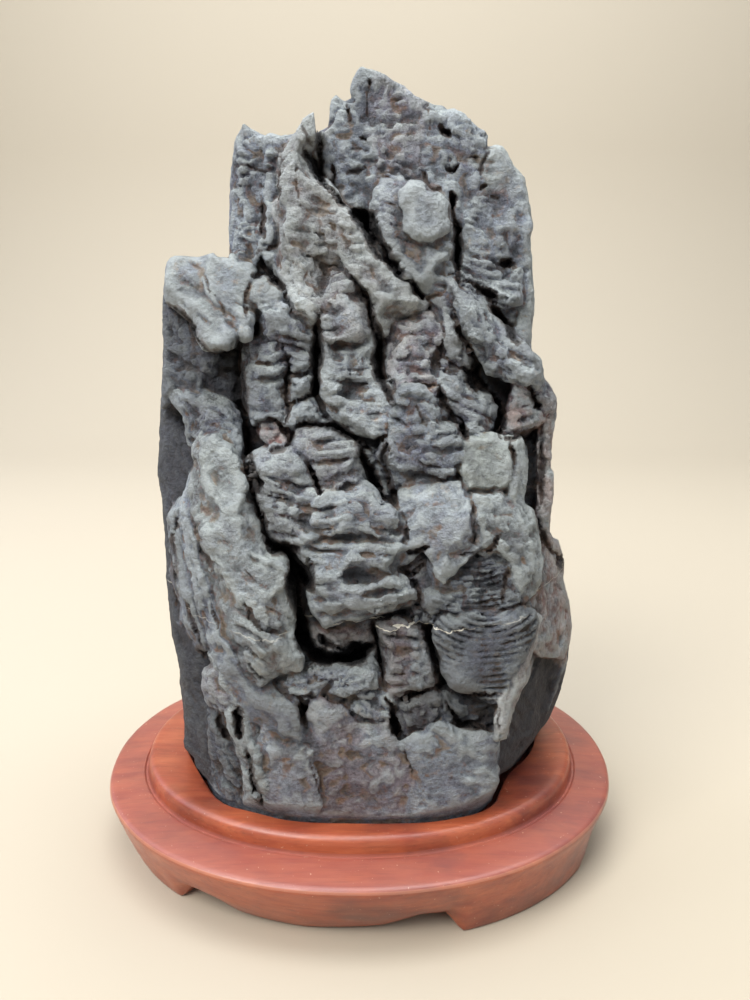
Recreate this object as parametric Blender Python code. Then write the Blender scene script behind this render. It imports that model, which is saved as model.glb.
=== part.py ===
# A viewing stone let into a low oval stand of carved wood.
# Metres, +Z up. The origin is on the table, under the middle of the stand.
import math

import bpy
import numpy as np

MM = 0.001

# driving sizes, in millimetres
STAND_HALF_LENGTH = 108.0
STAND_HALF_DEPTH = 83.0
STAND_SQUARENESS = 2.1  # 2 is a true ellipse
RIM_HEIGHT = 26.3
STAND_TOP = 34.2
APRON_INSET = 10.0
LIP_WIDTH = 9.0
HOLLOW_CEILING = 8.0
POCKET_FLOOR = 26.0
POCKET_GAP = 1.8
REST_GAP = 0.3
STONE_BASE = POCKET_FLOOR + REST_GAP
CUTTER_RISE = 10.0  # how far the pocket's cutter stands over the stand
FEET = ((-70, -30), (30, 70), (131, 157), (-157, -131))  # start and end angles round the oval
FOOT_FLARE = 5.5
NOTCH_ANGLE = 7.0  # the notch beside each foot, in degrees
NOTCH_HEIGHT = 6.0
APRON_RISE = 1.0  # the apron's lower edge over the table, lowest between two feet
APRON_ARCH = 3.0
APRON_ARCH_ANGLE = 22.0
STAND_ANGLES = 96
SHOE_HEIGHT = 11.0

# sizes of the stone, in millimetres
CORE_SETBACK = 10.0  # from the crags' faces to the mass behind them
CRAG_DEPTH = 18.0  # how far behind the plane y = 0 a crag reaches
BACK_CLEFT_DEPTH = 6.0
LUMP_SIZE, LUMP_HEIGHT = 15.0, 1.6
KNOBBLE_SIZE, KNOBBLE_HEIGHT = 6.5, 0.7
SWELLING_SIZE, SWELLING_HEIGHT = 24.0, 3.0
PLUG_TOP = 35.0  # below this the stone keeps to its foot's outline
PLUG_REACH = 95.0  # and over it the foot draws in up to this height
PLUG_TAPER, PLUG_CURVE = 0.3, 0.006
FOOT_SLOPE, FOOT_SLOPE_HEIGHT = 0.6, 40.0  # the crags may lean out over the foot by this much
CORE_BLEND, CRAG_BLEND, FOOT_BLEND = 2.0, 1.2, 2.0
FAR_AWAY = 20.0  # distance where there is nothing

# the grid that the stone is sampled on, in millimetres
GRID_STEP = 3.0
GRID_SPANS = ((-96, 102), (-72, 60), (20, 312))
STONE_TRIANGLES = 7000
FILLED = -0.02  # distance given to a cell corner that is filled in
PINCH_PASSES = 12
CELL_CORNERS = [(i, j, k) for i in (0, 1) for j in (0, 1) for k in (0, 1)]

# the eye from which the outlines below were read, and its pixels
EYE = (6.5, -296.0, 222.0)
EYE_PITCH = math.radians(15.0)
EYE_FOCAL_PX = 752.0
EYE_CENTRE_PX = (375.0, 500.0)

# front of the stone: how far forward its faces stand at each height in pixels
FACE_HEIGHT_PX = (60, 130, 200, 270, 330, 400, 460, 520, 600, 680, 750, 820)
FACE_FRONT = (6, 0, -6, -12, -18, -26, -33, -40, -47, -52, -55, -56)

# the stone's foot in plan, millimetres from the middle of the stand
FOOT_PLAN = [
    (-80, -4), (-67, -28), (-55, -46), (-38, -50), (-25, -55), (-3, -56), (16, -56), (30, -55),
    (50, -49), (56, -35), (60, -26), (71, -14), (77, 0), (77, 15), (69, 31), (45, 43), (10, 48),
    (-30, 46), (-60, 35), (-75, 18),
]

# masses: outline in pixels, and how far the back swells behind the plane y = 0
MASSES = {
    "body": dict(back=44, roundness=26, outline=[
        (165, 285), (200, 262), (245, 272), (290, 262), (400, 250), (470, 262), (533, 300), (531, 352),
        (540, 357), (550, 385), (555, 420), (551, 468), (549, 532), (558, 540), (563, 580), (571, 625),
        (568, 660), (558, 690), (545, 716), (530, 745), (510, 769), (495, 800), (480, 812), (360, 820),
        (290, 822), (245, 805), (215, 800), (193, 770), (184, 740), (180, 670), (170, 620), (165, 540),
        (158, 475), (160, 415), (164, 340),
    ]),
    "saddle": dict(back=37, roundness=24, outline=[
        (236, 300), (262, 225), (300, 205), (345, 212), (440, 205), (500, 225), (531, 262), (534, 300),
        (531, 352), (540, 380), (540, 440), (200, 440), (200, 330),
    ]),
    "summit": dict(back=30, roundness=20, outline=[
        (318, 150), (329, 120), (336, 93), (345, 101), (351, 90), (361, 68), (385, 75), (405, 86),
        (420, 99), (447, 110), (465, 113), (488, 136), (487, 160), (495, 260), (490, 330), (330, 330),
        (318, 200),
    ]),
    "left_tower": dict(back=18, roundness=14, outline=[
        (229, 195), (232, 160), (243, 123), (265, 136), (295, 133), (314, 111), (318, 150), (330, 320),
        (240, 320), (229, 258),
    ]),
    "right_slab": dict(back=24, roundness=16, outline=[
        (470, 140), (502, 146), (525, 178), (533, 225), (534, 300), (531, 352), (440, 352), (450, 180),
    ]),
    "shoulder": dict(back=34, roundness=20, outline=[
        (164, 310), (166, 264), (178, 256), (200, 256), (229, 257), (252, 273), (300, 290), (320, 420),
        (160, 420),
    ]),
}

# crags on the front: outline in pixels, how far each stands out from the face (out),
# how many degrees it turns to the right (turn), and the width and depth of its rounded edge
CRAGS = {
    "left_tower": dict(out=-3, turn=-14, edge=12, drop=7, outline=[
        (229, 195), (232, 160), (243, 123), (268, 136), (268, 150), (262, 200), (263, 235), (258, 258),
        (262, 278), (240, 266), (229, 240),
    ]),
    "tower_strip": dict(out=0, turn=0, edge=8, drop=5, outline=[
        (268, 136), (297, 133), (285, 150), (279, 158), (279, 205), (282, 240), (287, 290), (270, 272),
        (263, 240), (262, 200), (268, 150),
    ]),
    "horn_ridge": dict(out=5, turn=4, edge=11, drop=7, outline=[
        (285, 150), (297, 133), (303, 118), (314, 111), (316, 135), (308, 152), (312, 172), (330, 192),
        (341, 204), (361, 222), (365, 240), (385, 266), (408, 285), (424, 305), (395, 315), (378, 335),
        (362, 292), (340, 265), (320, 262), (320, 310), (308, 322), (290, 297), (283, 262), (279, 205),
        (279, 158),
    ]),
    "summit_left": dict(out=-9, turn=-10, edge=7, drop=5, outline=[
        (318, 134), (328, 127), (332, 99), (336, 93), (346, 101), (345, 150), (346, 196), (330, 180),
        (326, 165),
    ]),
    "summit_middle": dict(out=-7, turn=0, edge=9, drop=6, outline=[
        (345, 101), (350, 88), (361, 68), (374, 72), (374, 150), (372, 210), (352, 199), (346, 180),
    ]),
    "summit_right": dict(out=-6, turn=6, edge=10, drop=6, outline=[
        (373, 71), (395, 82), (415, 96), (428, 101), (428, 195), (400, 180), (380, 186), (372, 205),
        (373, 140),
    ]),
    "summit_shoulder": dict(out=-8, turn=14, edge=9, drop=6, outline=[
        (428, 101), (453, 109), (473, 122), (488, 136), (480, 160), (481, 175), (470, 195), (462, 220),
        (446, 213), (428, 192),
    ]),
    "right_slab": dict(out=-12, turn=28, edge=12, drop=7, outline=[
        (480, 160), (488, 148), (502, 146), (513, 164), (525, 178), (533, 225), (534, 300), (531, 352),
        (517, 335), (519, 290), (513, 225), (508, 197), (485, 183),
    ]),
    "loaf": dict(out=3, turn=8, edge=16, drop=9, outline=[
        (376, 200), (383, 183), (400, 180), (420, 190), (441, 205), (448, 222), (450, 262), (449, 290),
        (420, 288), (398, 262), (374, 228),
    ]),
    "right_ledge_upper": dict(out=-6, turn=10, edge=8, drop=5, outline=[
        (470, 195), (500, 197), (512, 222), (512, 257), (490, 258), (470, 253), (463, 235),
    ]),
    "right_ledge_lower": dict(out=-5, turn=10, edge=8, drop=5, outline=[
        (458, 268), (462, 255), (480, 257), (497, 278), (515, 275), (516, 300), (487, 298), (460, 297),
    ]),
    "shoulder_left": dict(out=3, turn=-10, edge=13, drop=9, outline=[
        (166, 262), (178, 256), (200, 256), (217, 257), (213, 285), (223, 300), (234, 332), (225, 343),
        (207, 346), (192, 320), (168, 293),
    ]),
    "shoulder_middle": dict(out=4, turn=0, edge=11, drop=8, outline=[
        (217, 257), (235, 263), (253, 273), (246, 300), (245, 335), (230, 315), (215, 285),
    ]),
    "shoulder_right": dict(out=4, turn=0, edge=8, drop=6, outline=[
        (252, 281), (270, 283), (278, 297), (262, 310), (247, 298),
    ]),
    "left_recess": dict(out=-10, turn=-16, edge=10, drop=5, outline=[
        (164, 300), (200, 330), (240, 340), (246, 405), (200, 398), (162, 400),
    ]),
    "left_lower": dict(out=-4, turn=-14, edge=12, drop=7, outline=[
        (173, 393), (198, 392), (230, 405), (238, 440), (240, 470), (205, 455), (187, 415),
    ]),
    "left_flank": dict(out=-22, turn=-46, edge=10, drop=5, outline=[
        (160, 400), (180, 402), (200, 440), (200, 640), (215, 760), (215, 800), (193, 770), (180, 670),
        (170, 620), (158, 475),
    ]),
    "column_upper": dict(out=4, turn=-4, edge=12, drop=7, outline=[
        (262, 310), (280, 302), (303, 318), (313, 340), (312, 361), (300, 350), (282, 340), (263, 335),
    ]),
    "column_left": dict(out=2, turn=-8, edge=11, drop=7, outline=[
        (247, 350), (262, 340), (280, 341), (288, 368), (283, 422), (256, 422), (247, 395),
    ]),
    "column_right": dict(out=1, turn=4, edge=10, drop=6, outline=[
        (286, 352), (312, 353), (309, 390), (318, 422), (290, 425), (286, 385),
    ]),
    "long_column": dict(out=4, turn=0, edge=15, drop=10, outline=[
        (320, 262), (339, 262), (355, 282), (369, 308), (373, 338), (376, 377), (391, 400), (388, 430),
        (362, 434), (335, 426), (324, 390), (320, 320),
    ]),
    "ochre_column": dict(out=1, turn=0, edge=13, drop=8, outline=[
        (392, 318), (415, 313), (438, 313), (441, 350), (437, 393), (412, 386), (395, 388), (391, 345),
    ]),
    "right_column": dict(out=2, turn=6, edge=12, drop=8, outline=[
        (432, 300), (449, 291), (456, 325), (474, 359), (466, 380), (492, 408), (485, 436), (464, 438),
        (440, 400), (438, 362), (443, 320),
    ]),
    "diagonal": dict(out=3, turn=14, edge=12, drop=9, outline=[
        (452, 286), (460, 295), (484, 305), (500, 326), (531, 352), (544, 378), (515, 378), (492, 370),
        (466, 332), (455, 305),
    ]),
    "red_patch": dict(out=-5, turn=22, edge=10, drop=6, outline=[
        (515, 380), (540, 383), (557, 400), (552, 412), (540, 418), (510, 435), (502, 430), (514, 400),
    ]),
    "right_strip": dict(out=-18, turn=40, edge=8, drop=4, outline=[
        (518, 415), (556, 405), (551, 468), (549, 535), (563, 580), (530, 580), (518, 500),
    ]),
    "small_head": dict(out=6, turn=4, edge=14, drop=9, outline=[
        (391, 410), (396, 392), (412, 387), (435, 400), (457, 424), (463, 465), (445, 483), (395, 482),
        (384, 465),
    ]),
    "smooth_block": dict(out=3, turn=14, edge=12, drop=7, outline=[
        (463, 445), (480, 436), (507, 442), (519, 450), (519, 510), (500, 500), (470, 485), (463, 465),
    ]),
    "blue_facet": dict(out=6, turn=0, edge=12, drop=7, outline=[
        (402, 490), (440, 482), (460, 482), (472, 520), (476, 545), (457, 565), (443, 578), (410, 545),
        (406, 515),
    ]),
    "right_facet": dict(out=3, turn=16, edge=12, drop=7, outline=[
        (475, 500), (500, 498), (530, 510), (540, 580), (520, 612), (440, 615), (430, 590), (460, 562),
        (477, 545),
    ]),
    "flank": dict(out=-20, turn=48, edge=14, drop=8, outline=[
        (520, 540), (558, 542), (572, 625), (568, 660), (551, 716), (530, 745), (499, 780), (490, 720),
        (525, 620),
    ]),
    "wedge": dict(out=4, turn=10, edge=12, drop=8, outline=[
        (442, 622), (470, 614), (527, 612), (534, 616), (520, 668), (503, 712), (499, 735), (470, 725),
        (440, 722), (446, 690), (440, 650),
    ]),
    "spear": dict(out=8, turn=-10, edge=17, drop=12, outline=[
        (200, 447), (210, 437), (222, 446), (241, 468), (252, 500), (262, 530), (282, 559), (292, 585),
        (287, 625), (299, 660), (290, 672), (262, 682), (230, 660), (213, 590), (195, 530),
    ]),
    "spear_side": dict(out=0, turn=-30, edge=12, drop=7, outline=[
        (185, 500), (197, 470), (215, 575), (235, 660), (262, 700), (262, 740), (232, 720), (200, 640),
        (186, 570),
    ]),
    "folded_left": dict(out=6, turn=-6, edge=12, drop=8, outline=[
        (249, 462), (277, 446), (302, 460), (318, 493), (300, 550), (272, 540), (258, 505),
    ]),
    "folded_head": dict(out=5, turn=0, edge=13, drop=8, outline=[
        (293, 445), (303, 431), (334, 427), (356, 450), (362, 490), (325, 495), (303, 460),
    ]),
    "folded_body": dict(out=7, turn=0, edge=14, drop=9, outline=[
        (300, 495), (362, 485), (397, 508), (407, 535), (405, 557), (416, 592), (385, 608), (325, 621),
        (310, 600), (312, 575), (292, 543), (265, 525),
    ]),
    "cave_lump": dict(out=-8, turn=0, edge=8, drop=6, outline=[
        (303, 625), (320, 621), (372, 618), (372, 632), (326, 657), (308, 638),
    ]),
    "brown_column": dict(out=0, turn=2, edge=12, drop=8, outline=[
        (380, 625), (395, 618), (420, 622), (435, 662), (436, 700), (425, 725), (405, 735), (385, 690),
    ]),
    "sill": dict(out=2, turn=0, edge=12, drop=8, outline=[
        (303, 668), (350, 666), (378, 662), (392, 690), (392, 735), (345, 725), (300, 705), (265, 680),
    ]),
    "foot_left": dict(out=3, turn=-12, edge=13, drop=7, outline=[
        (257, 680), (278, 700), (306, 745), (318, 790), (310, 822), (278, 818), (255, 806), (225, 806),
        (222, 700), (235, 690),
    ]),
    "foot_middle": dict(out=3, turn=0, edge=13, drop=7, outline=[
        (308, 750), (312, 712), (342, 711), (385, 715), (395, 760), (412, 782), (400, 822), (325, 822),
        (318, 790),
    ]),
    "foot_right": dict(out=1, turn=6, edge=13, drop=7, outline=[
        (405, 740), (440, 725), (480, 725), (495, 745), (499, 782), (480, 814), (405, 822), (412, 790),
        (398, 760),
    ]),
}

WOOD = dict(colour=(0.31, 0.085, 0.042), roughness=0.33, metallic=0.0)
ROCK = dict(colour=(0.13, 0.135, 0.13), roughness=0.82, metallic=0.0)


def clear_scene():
    for old in list(bpy.data.objects):
        bpy.data.objects.remove(old, do_unlink=True)


def make_material(name, colour, roughness, metallic):
    material = bpy.data.materials.new(name)
    material.use_nodes = True
    shader = material.node_tree.nodes["Principled BSDF"]
    shader.inputs["Base Color"].default_value = (*colour, 1.0)
    shader.inputs["Roughness"].default_value = roughness
    shader.inputs["Metallic"].default_value = metallic
    return material


def make_object(name, vertices, faces, material):
    mesh = bpy.data.meshes.new(name)
    mesh.from_pydata((np.asarray(vertices) * MM).tolist(), [], [list(map(int, f)) for f in faces])
    mesh.materials.append(material)
    made = bpy.data.objects.new(name, mesh)
    bpy.context.scene.collection.objects.link(made)
    return made


# where a point lies in the eye's picture: pixel across, pixel down, millimetres per pixel
def to_pixels(x, y, z):
    forward = (y - EYE[1]) * math.cos(EYE_PITCH) - (z - EYE[2]) * math.sin(EYE_PITCH)
    down = -(y - EYE[1]) * math.sin(EYE_PITCH) - (z - EYE[2]) * math.cos(EYE_PITCH)
    across = EYE_CENTRE_PX[0] + EYE_FOCAL_PX * (x - EYE[0]) / forward
    return across, EYE_CENTRE_PX[1] + EYE_FOCAL_PX * down / forward, forward / EYE_FOCAL_PX


# the point (x, z) where a pixel's ray meets the plane y = depth
def on_plane(pixel, depth=0.0):
    right = (pixel[0] - EYE_CENTRE_PX[0]) / EYE_FOCAL_PX
    down = (pixel[1] - EYE_CENTRE_PX[1]) / EYE_FOCAL_PX
    step_y = math.cos(EYE_PITCH) - down * math.sin(EYE_PITCH)
    step_z = -math.sin(EYE_PITCH) - down * math.cos(EYE_PITCH)
    reach = (depth - EYE[1]) / step_y
    return EYE[0] + reach * right, EYE[2] + reach * step_z


# distance from points to a closed outline, positive inside
def outline_distance(px, py, outline):
    corners = np.asarray(outline, float)
    nearest = np.full(px.shape, 1e12)
    inside = np.zeros(px.shape, bool)
    for (ax, ay), (bx, by) in zip(corners, np.roll(corners, -1, axis=0)):
        ex, ey = bx - ax, by - ay
        along = np.clip(((px - ax) * ex + (py - ay) * ey) / (ex * ex + ey * ey), 0, 1)
        nearest = np.minimum(nearest, (px - ax - along * ex) ** 2 + (py - ay - along * ey) ** 2)
        if ey != 0:
            crossing = (ay > py) != (by > py)
            inside ^= crossing & (px < ax + (py - ay) / ey * ex)
    return np.where(inside, 1, -1) * np.sqrt(nearest)


def smooth_max(a, b, reach):
    mix = np.clip(0.5 + 0.5 * (a - b) / reach, 0, 1)
    return b + (a - b) * mix + reach * mix * (1 - mix)


def smooth_min(a, b, reach):
    return -smooth_max(-a, -b, reach)


# how much of its full swell a rounded edge has at a distance inside the outline
def quarter_round(distance, width):
    short = 1 - np.clip(distance / width, 0, 1)
    return np.sqrt(1 - short * short)


# value noise on an unbounded lattice, from -1 to 1
def lattice_noise(x, y, z, size, seed):
    cells = [np.floor(c / size).astype(np.int64) for c in (x, y, z)]
    parts = [c / size - cell for c, cell in zip((x, y, z), cells)]
    eases = [p * p * (3 - 2 * p) for p in parts]
    total = 0
    for corner in np.ndindex(2, 2, 2):
        key = seed * 977
        weight = 1
        for axis in range(3):
            key = key * 1619 + (cells[axis] + corner[axis]) * (31337, 6971, 1013)[axis]
            weight = weight * (eases[axis] if corner[axis] else 1 - eases[axis])
        key = (key ^ (key >> 13)) * 1274126177
        key = (key ^ (key >> 16)) & 0xFFFF
        total = total + weight * (key / 32767.5 - 1)
    return total


# the stone as a field on a grid, negative inside
def stone_field(axes):
    x, y, z = np.meshgrid(*axes, indexing="ij")
    px, py, scale = to_pixels(x, y, z)
    face = np.interp(py, FACE_HEIGHT_PX, FACE_FRONT)
    lumps = LUMP_HEIGHT * lattice_noise(x, y, z * 0.7, LUMP_SIZE, 3)
    lumps += KNOBBLE_HEIGHT * lattice_noise(x, y, z, KNOBBLE_SIZE, 4)
    field = np.full(x.shape, FAR_AWAY)

    # the masses behind the crags, with a rounded and cleft back
    swelling = lattice_noise(x, y * 0.4, z * 0.35, SWELLING_SIZE, 20)
    clefts = SWELLING_HEIGHT * swelling + BACK_CLEFT_DEPTH * (1 - np.clip(np.abs(swelling - 0.1) * 6, 0, 1))
    for mass in MASSES.values():
        cone = outline_distance(px, py, mass["outline"]) * scale
        plane = outline_distance(x, z, [on_plane(p) for p in mass["outline"]])
        swell = mass["back"] * quarter_round(plane, mass["roundness"])
        sides = np.where(y < 0, -cone, -np.minimum(cone, plane))
        front = face + CORE_SETBACK - y + lumps
        back = (y - swell + clefts + lumps) * 0.8
        field = np.minimum(field, np.maximum(sides, smooth_max(front, back, CORE_BLEND)))

    # the crags
    for crag in CRAGS.values():
        reach = [(min(c) - 8, max(c) + 8) for c in zip(*crag["outline"])]
        near = (px > reach[0][0]) & (px < reach[0][1]) & (py > reach[1][0]) & (py < reach[1][1])
        at = np.nonzero(near & (y < FAR_AWAY))
        inside = outline_distance(px[at], py[at], crag["outline"])
        middle = sum(p[0] for p in crag["outline"]) / len(crag["outline"])
        across = (px[at] - middle) * scale[at]
        front = face[at] - crag["out"] + across * math.tan(math.radians(crag["turn"]))
        front = front + crag["drop"] * (1 - quarter_round(inside, crag["edge"])) + 0.6 * lumps[at]
        solid = smooth_max(-inside * scale[at], front - y[at], CRAG_BLEND)
        solid = np.maximum(solid, y[at] - CRAG_DEPTH)
        field[at] = smooth_min(field[at], solid, CRAG_BLEND)

    # the foot keeps to its own outline in the pocket, and draws in over it
    plan = outline_distance(x, y, FOOT_PLAN)
    rising = np.maximum(z - PLUG_TOP, 0)
    plug = -plan - 0.2 + 0.4 * lumps + (PLUG_TAPER + PLUG_CURVE * rising) * rising
    field = smooth_min(field, np.maximum(plug, z - PLUG_REACH), FOOT_BLEND)
    field = np.where(rising < FOOT_SLOPE_HEIGHT, np.maximum(field, -plan - FOOT_SLOPE * rising), field)
    return np.maximum(field, STONE_BASE - z)


# the values at one corner of every cell of the grid
def at_corner(field, corner):
    return field[tuple(slice(c, size - 1 + c) for c, size in zip(corner, field.shape))]


# corners that touch only across a diagonal would pinch the surface, so they are filled in
def fill_pinches(field):
    steps = np.eye(3, dtype=int)
    for _ in range(PINCH_PASSES):
        changed = 0
        for first, second in ((0, 1), (1, 2), (0, 2)):
            diagonal = ((0, 0, 0), tuple(steps[first] + steps[second]))
            other = (tuple(steps[second]), tuple(steps[first]))
            for solid, hollow in ((diagonal, other), (other, diagonal)):
                pinched = (at_corner(field, solid[0]) < 0) & (at_corner(field, solid[1]) < 0)
                pinched &= (at_corner(field, hollow[0]) >= 0) & (at_corner(field, hollow[1]) >= 0)
                at_corner(field, hollow[0])[pinched] = FILLED
                changed += int(pinched.sum())
        for near in ((0, 0, 0), (1, 0, 0), (0, 1, 0), (0, 0, 1)):
            far = tuple(1 - n for n in near)
            solids = sum((at_corner(field, corner) < 0).astype(np.int8) for corner in CELL_CORNERS)
            touching = (solids == 2) & (at_corner(field, near) < 0) & (at_corner(field, far) < 0)
            bubbles = (solids == 6) & (at_corner(field, near) >= 0) & (at_corner(field, far) >= 0)
            at_corner(field, (near[0], far[1], far[2]))[touching] = FILLED
            at_corner(field, near)[bubbles] = FILLED
            changed += int(touching.sum()) + int(bubbles.sum())
        if not changed:
            break
    return field


# one vertex in each cell that the surface crosses, one quad across each crossed grid edge
def surface_nets(field, axes):
    inside = field < 0
    count = sum(at_corner(inside, corner).astype(np.int8) for corner in CELL_CORNERS)
    cells = np.argwhere((count > 0) & (count < 8))
    number = np.full(count.shape, -1, np.int64)
    number[tuple(cells.T)] = np.arange(len(cells))
    values = np.stack([field[tuple((cells + c).T)] for c in CELL_CORNERS], axis=1)
    place = np.zeros((len(cells), 3))
    crossings = np.zeros(len(cells))
    for a, first in enumerate(CELL_CORNERS):
        for b, second in enumerate(CELL_CORNERS):
            if b <= a or sum(abs(p - q) for p, q in zip(first, second)) != 1:
                continue
            crossed = (values[:, a] < 0) != (values[:, b] < 0)
            gap = np.where(crossed, values[:, a] - values[:, b], 1.0)
            part = np.clip(values[:, a] / gap, 0.05, 0.95)
            point = np.asarray(first) + part[:, None] * (np.asarray(second) - np.asarray(first))
            place += np.where(crossed[:, None], point, 0)
            crossings += crossed
    place = cells + place / crossings[:, None]
    step = axes[0][1] - axes[0][0]
    vertices = np.array([axis[0] for axis in axes]) + place * step
    quads = []
    for axis in range(3):
        lower = [slice(1, -1)] * 3
        upper = [slice(1, -1)] * 3
        lower[axis] = slice(0, -1)
        upper[axis] = slice(1, None)
        starts, ends = inside[tuple(lower)], inside[tuple(upper)]
        shift = np.array([0 if n == axis else 1 for n in range(3)])
        side_u = np.eye(3, dtype=int)[(axis + 1) % 3]
        side_v = np.eye(3, dtype=int)[(axis + 2) % 3]
        for crossed, order in ((starts & ~ends, (0, 1, 2, 3)), (~starts & ends, (3, 2, 1, 0))):
            at = np.argwhere(crossed) + shift
            ring = [at, at - side_u, at - side_u - side_v, at - side_v]
            quads.append(np.stack([number[tuple(ring[n].T)] for n in order], axis=1))
    return vertices, np.concatenate(quads)


# only the largest connected surface: loose chips and closed bubbles go
def largest_surface(vertices, quads):
    label = np.arange(len(vertices))
    while True:
        lowest = label[quads].min(axis=1)
        new = label.copy()
        for corner in range(4):
            np.minimum.at(new, quads[:, corner], lowest)
        new = new[new]
        if np.array_equal(new, label):
            break
        label = new
    kept_label = np.bincount(label[quads[:, 0]]).argmax()
    kept = quads[label[quads[:, 0]] == kept_label]
    used = np.unique(kept)
    renumber = np.zeros(len(vertices), np.int64)
    renumber[used] = np.arange(len(used))
    return vertices[used], renumber[kept]


def make_stone():
    axes = [np.arange(low, high + GRID_STEP, GRID_STEP) for low, high in GRID_SPANS]
    field = fill_pinches(stone_field(axes))
    vertices, quads = largest_surface(*surface_nets(field, axes))
    vertices[:, 2] = np.maximum(vertices[:, 2], STONE_BASE)
    stone = make_object("stone", vertices, quads, make_material("dark limestone", **ROCK))
    fewer = stone.modifiers.new("fewer faces", "DECIMATE")
    fewer.ratio = STONE_TRIANGLES / (2 * len(quads))
    return stone


# a point of the stand's oval, pulled in by an inset
def oval(angle, inset):
    cosine, sine = math.cos(angle), math.sin(angle)
    power = 2 / STAND_SQUARENESS
    return (
        (STAND_HALF_LENGTH - inset) * math.copysign(abs(cosine) ** power, cosine),
        (STAND_HALF_DEPTH - inset) * math.copysign(abs(sine) ** power, sine),
    )


# lower edge of the stand's side at an angle: its height and its inset
def lower_edge(angle):
    degrees = math.degrees(angle)
    nearest = 360.0
    for start, end in FEET:
        if start <= degrees <= end:
            return 0.0, APRON_INSET - FOOT_FLARE
        for side in (start, end):
            nearest = min(nearest, abs((degrees - side + 180) % 360 - 180))
    if nearest < NOTCH_ANGLE:
        return NOTCH_HEIGHT, APRON_INSET
    fall = min(1.0, (nearest - NOTCH_ANGLE) / APRON_ARCH_ANGLE)
    return APRON_RISE + APRON_ARCH * (1 - fall) ** 2, APRON_INSET


# the stand as rings of points, from the hollow under it round the rim to its top
def stand_rings():
    angles = [math.radians(-180 + 360 * (n + 0.5) / STAND_ANGLES) for n in range(STAND_ANGLES)]
    edges = [lower_edge(a) for a in angles]
    rings = []
    lip = APRON_INSET + LIP_WIDTH
    rings.append([(*oval(a, lip + 4), HOLLOW_CEILING) for a in angles])
    rings.append([(*oval(a, lip), e[0]) for a, e in zip(angles, edges)])
    rings.append([(*oval(a, e[1]), e[0]) for a, e in zip(angles, edges)])
    rings.append([(*oval(a, 0.55 * e[1] + 1.5), SHOE_HEIGHT) for a, e in zip(angles, edges)])
    profile = (
        (1.6, 19.0), (0.3, 23.6), (0.0, 25.0), (1.3, RIM_HEIGHT), (14.0, 28.0), (15.2, 27.4),
        (15.8, 29.0), (16.4, 32.4), (18.0, STAND_TOP - 0.3), (20.0, STAND_TOP), (32.0, STAND_TOP - 0.7),
    )
    rings += [[(*oval(a, inset), height) for a in angles] for inset, height in profile]
    return rings


def make_stand():
    rings = stand_rings()
    vertices = [point for ring in rings for point in ring]
    faces = []
    count = STAND_ANGLES
    for row in range(len(rings) - 1):
        for n in range(count):
            after = (n + 1) % count
            low, high = row * count, (row + 1) * count
            faces.append((low + n, low + after, high + after, high + n))
    faces.append([count - 1 - n for n in range(count)])
    faces.append([(len(rings) - 1) * count + n for n in range(count)])
    stand = make_object("stand", vertices, faces, make_material("lacquered wood", **WOOD))

    # the pocket that the stone is let into
    plan = offset_outline(FOOT_PLAN, POCKET_GAP)
    walls = [(x, y, POCKET_FLOOR) for x, y in plan] + [(x, y, STAND_TOP + CUTTER_RISE) for x, y in plan]
    size = len(plan)
    sides = [(n, (n + 1) % size, size + (n + 1) % size, size + n) for n in range(size)]
    ends = [list(range(size))[::-1], list(range(size, 2 * size))]
    cutter = make_object("pocket cutter", walls, sides + ends, make_material("cutter", **WOOD))
    cutter.hide_render = True
    cutter.display_type = "WIRE"
    pocket = stand.modifiers.new("pocket", "BOOLEAN")
    pocket.operation = "DIFFERENCE"
    pocket.solver = "EXACT"
    pocket.object = cutter
    return stand


# the outline moved outwards, corner by corner, along the mean of its two sides' normals
def offset_outline(outline, gap):
    corners = np.asarray(outline, float)
    before = corners - np.roll(corners, 1, axis=0)
    after = np.roll(corners, -1, axis=0) - corners
    normals = []
    for edge in (before, after):
        unit = edge / np.linalg.norm(edge, axis=1)[:, None]
        normals.append(np.stack([unit[:, 1], -unit[:, 0]], axis=1))
    mean = normals[0] + normals[1]
    length = np.linalg.norm(mean, axis=1)[:, None]
    return (corners + mean / length * gap * 2 / length).tolist()


clear_scene()
make_stone()
make_stand()
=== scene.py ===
# A dark viewing stone in its red-brown lacquered stand, on a plain pale floor.
import math

import bmesh
import bpy
import numpy as np
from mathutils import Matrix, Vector


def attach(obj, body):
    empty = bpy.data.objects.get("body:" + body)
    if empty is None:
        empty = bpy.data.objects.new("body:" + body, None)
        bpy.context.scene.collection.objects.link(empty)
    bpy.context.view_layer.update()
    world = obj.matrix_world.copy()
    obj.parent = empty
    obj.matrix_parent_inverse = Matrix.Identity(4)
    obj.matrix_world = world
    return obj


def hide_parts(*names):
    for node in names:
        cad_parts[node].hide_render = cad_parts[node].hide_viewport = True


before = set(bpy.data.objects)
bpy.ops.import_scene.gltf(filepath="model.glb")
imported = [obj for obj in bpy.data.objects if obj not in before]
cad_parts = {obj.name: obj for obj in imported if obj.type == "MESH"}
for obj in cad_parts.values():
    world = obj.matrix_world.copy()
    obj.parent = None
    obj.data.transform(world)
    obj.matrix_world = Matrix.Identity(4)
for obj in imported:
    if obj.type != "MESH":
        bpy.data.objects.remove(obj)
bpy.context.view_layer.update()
mm = 0.001


# the camera: where the photograph was taken from, in millimetres
camera = dict(place=(6.5, -296.0, 222.0), pitch=15.0, focalPx=752.0, centrePx=(375.0, 500.0), longSidePx=1000)
cameraPitch = math.radians(camera["pitch"])


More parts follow.
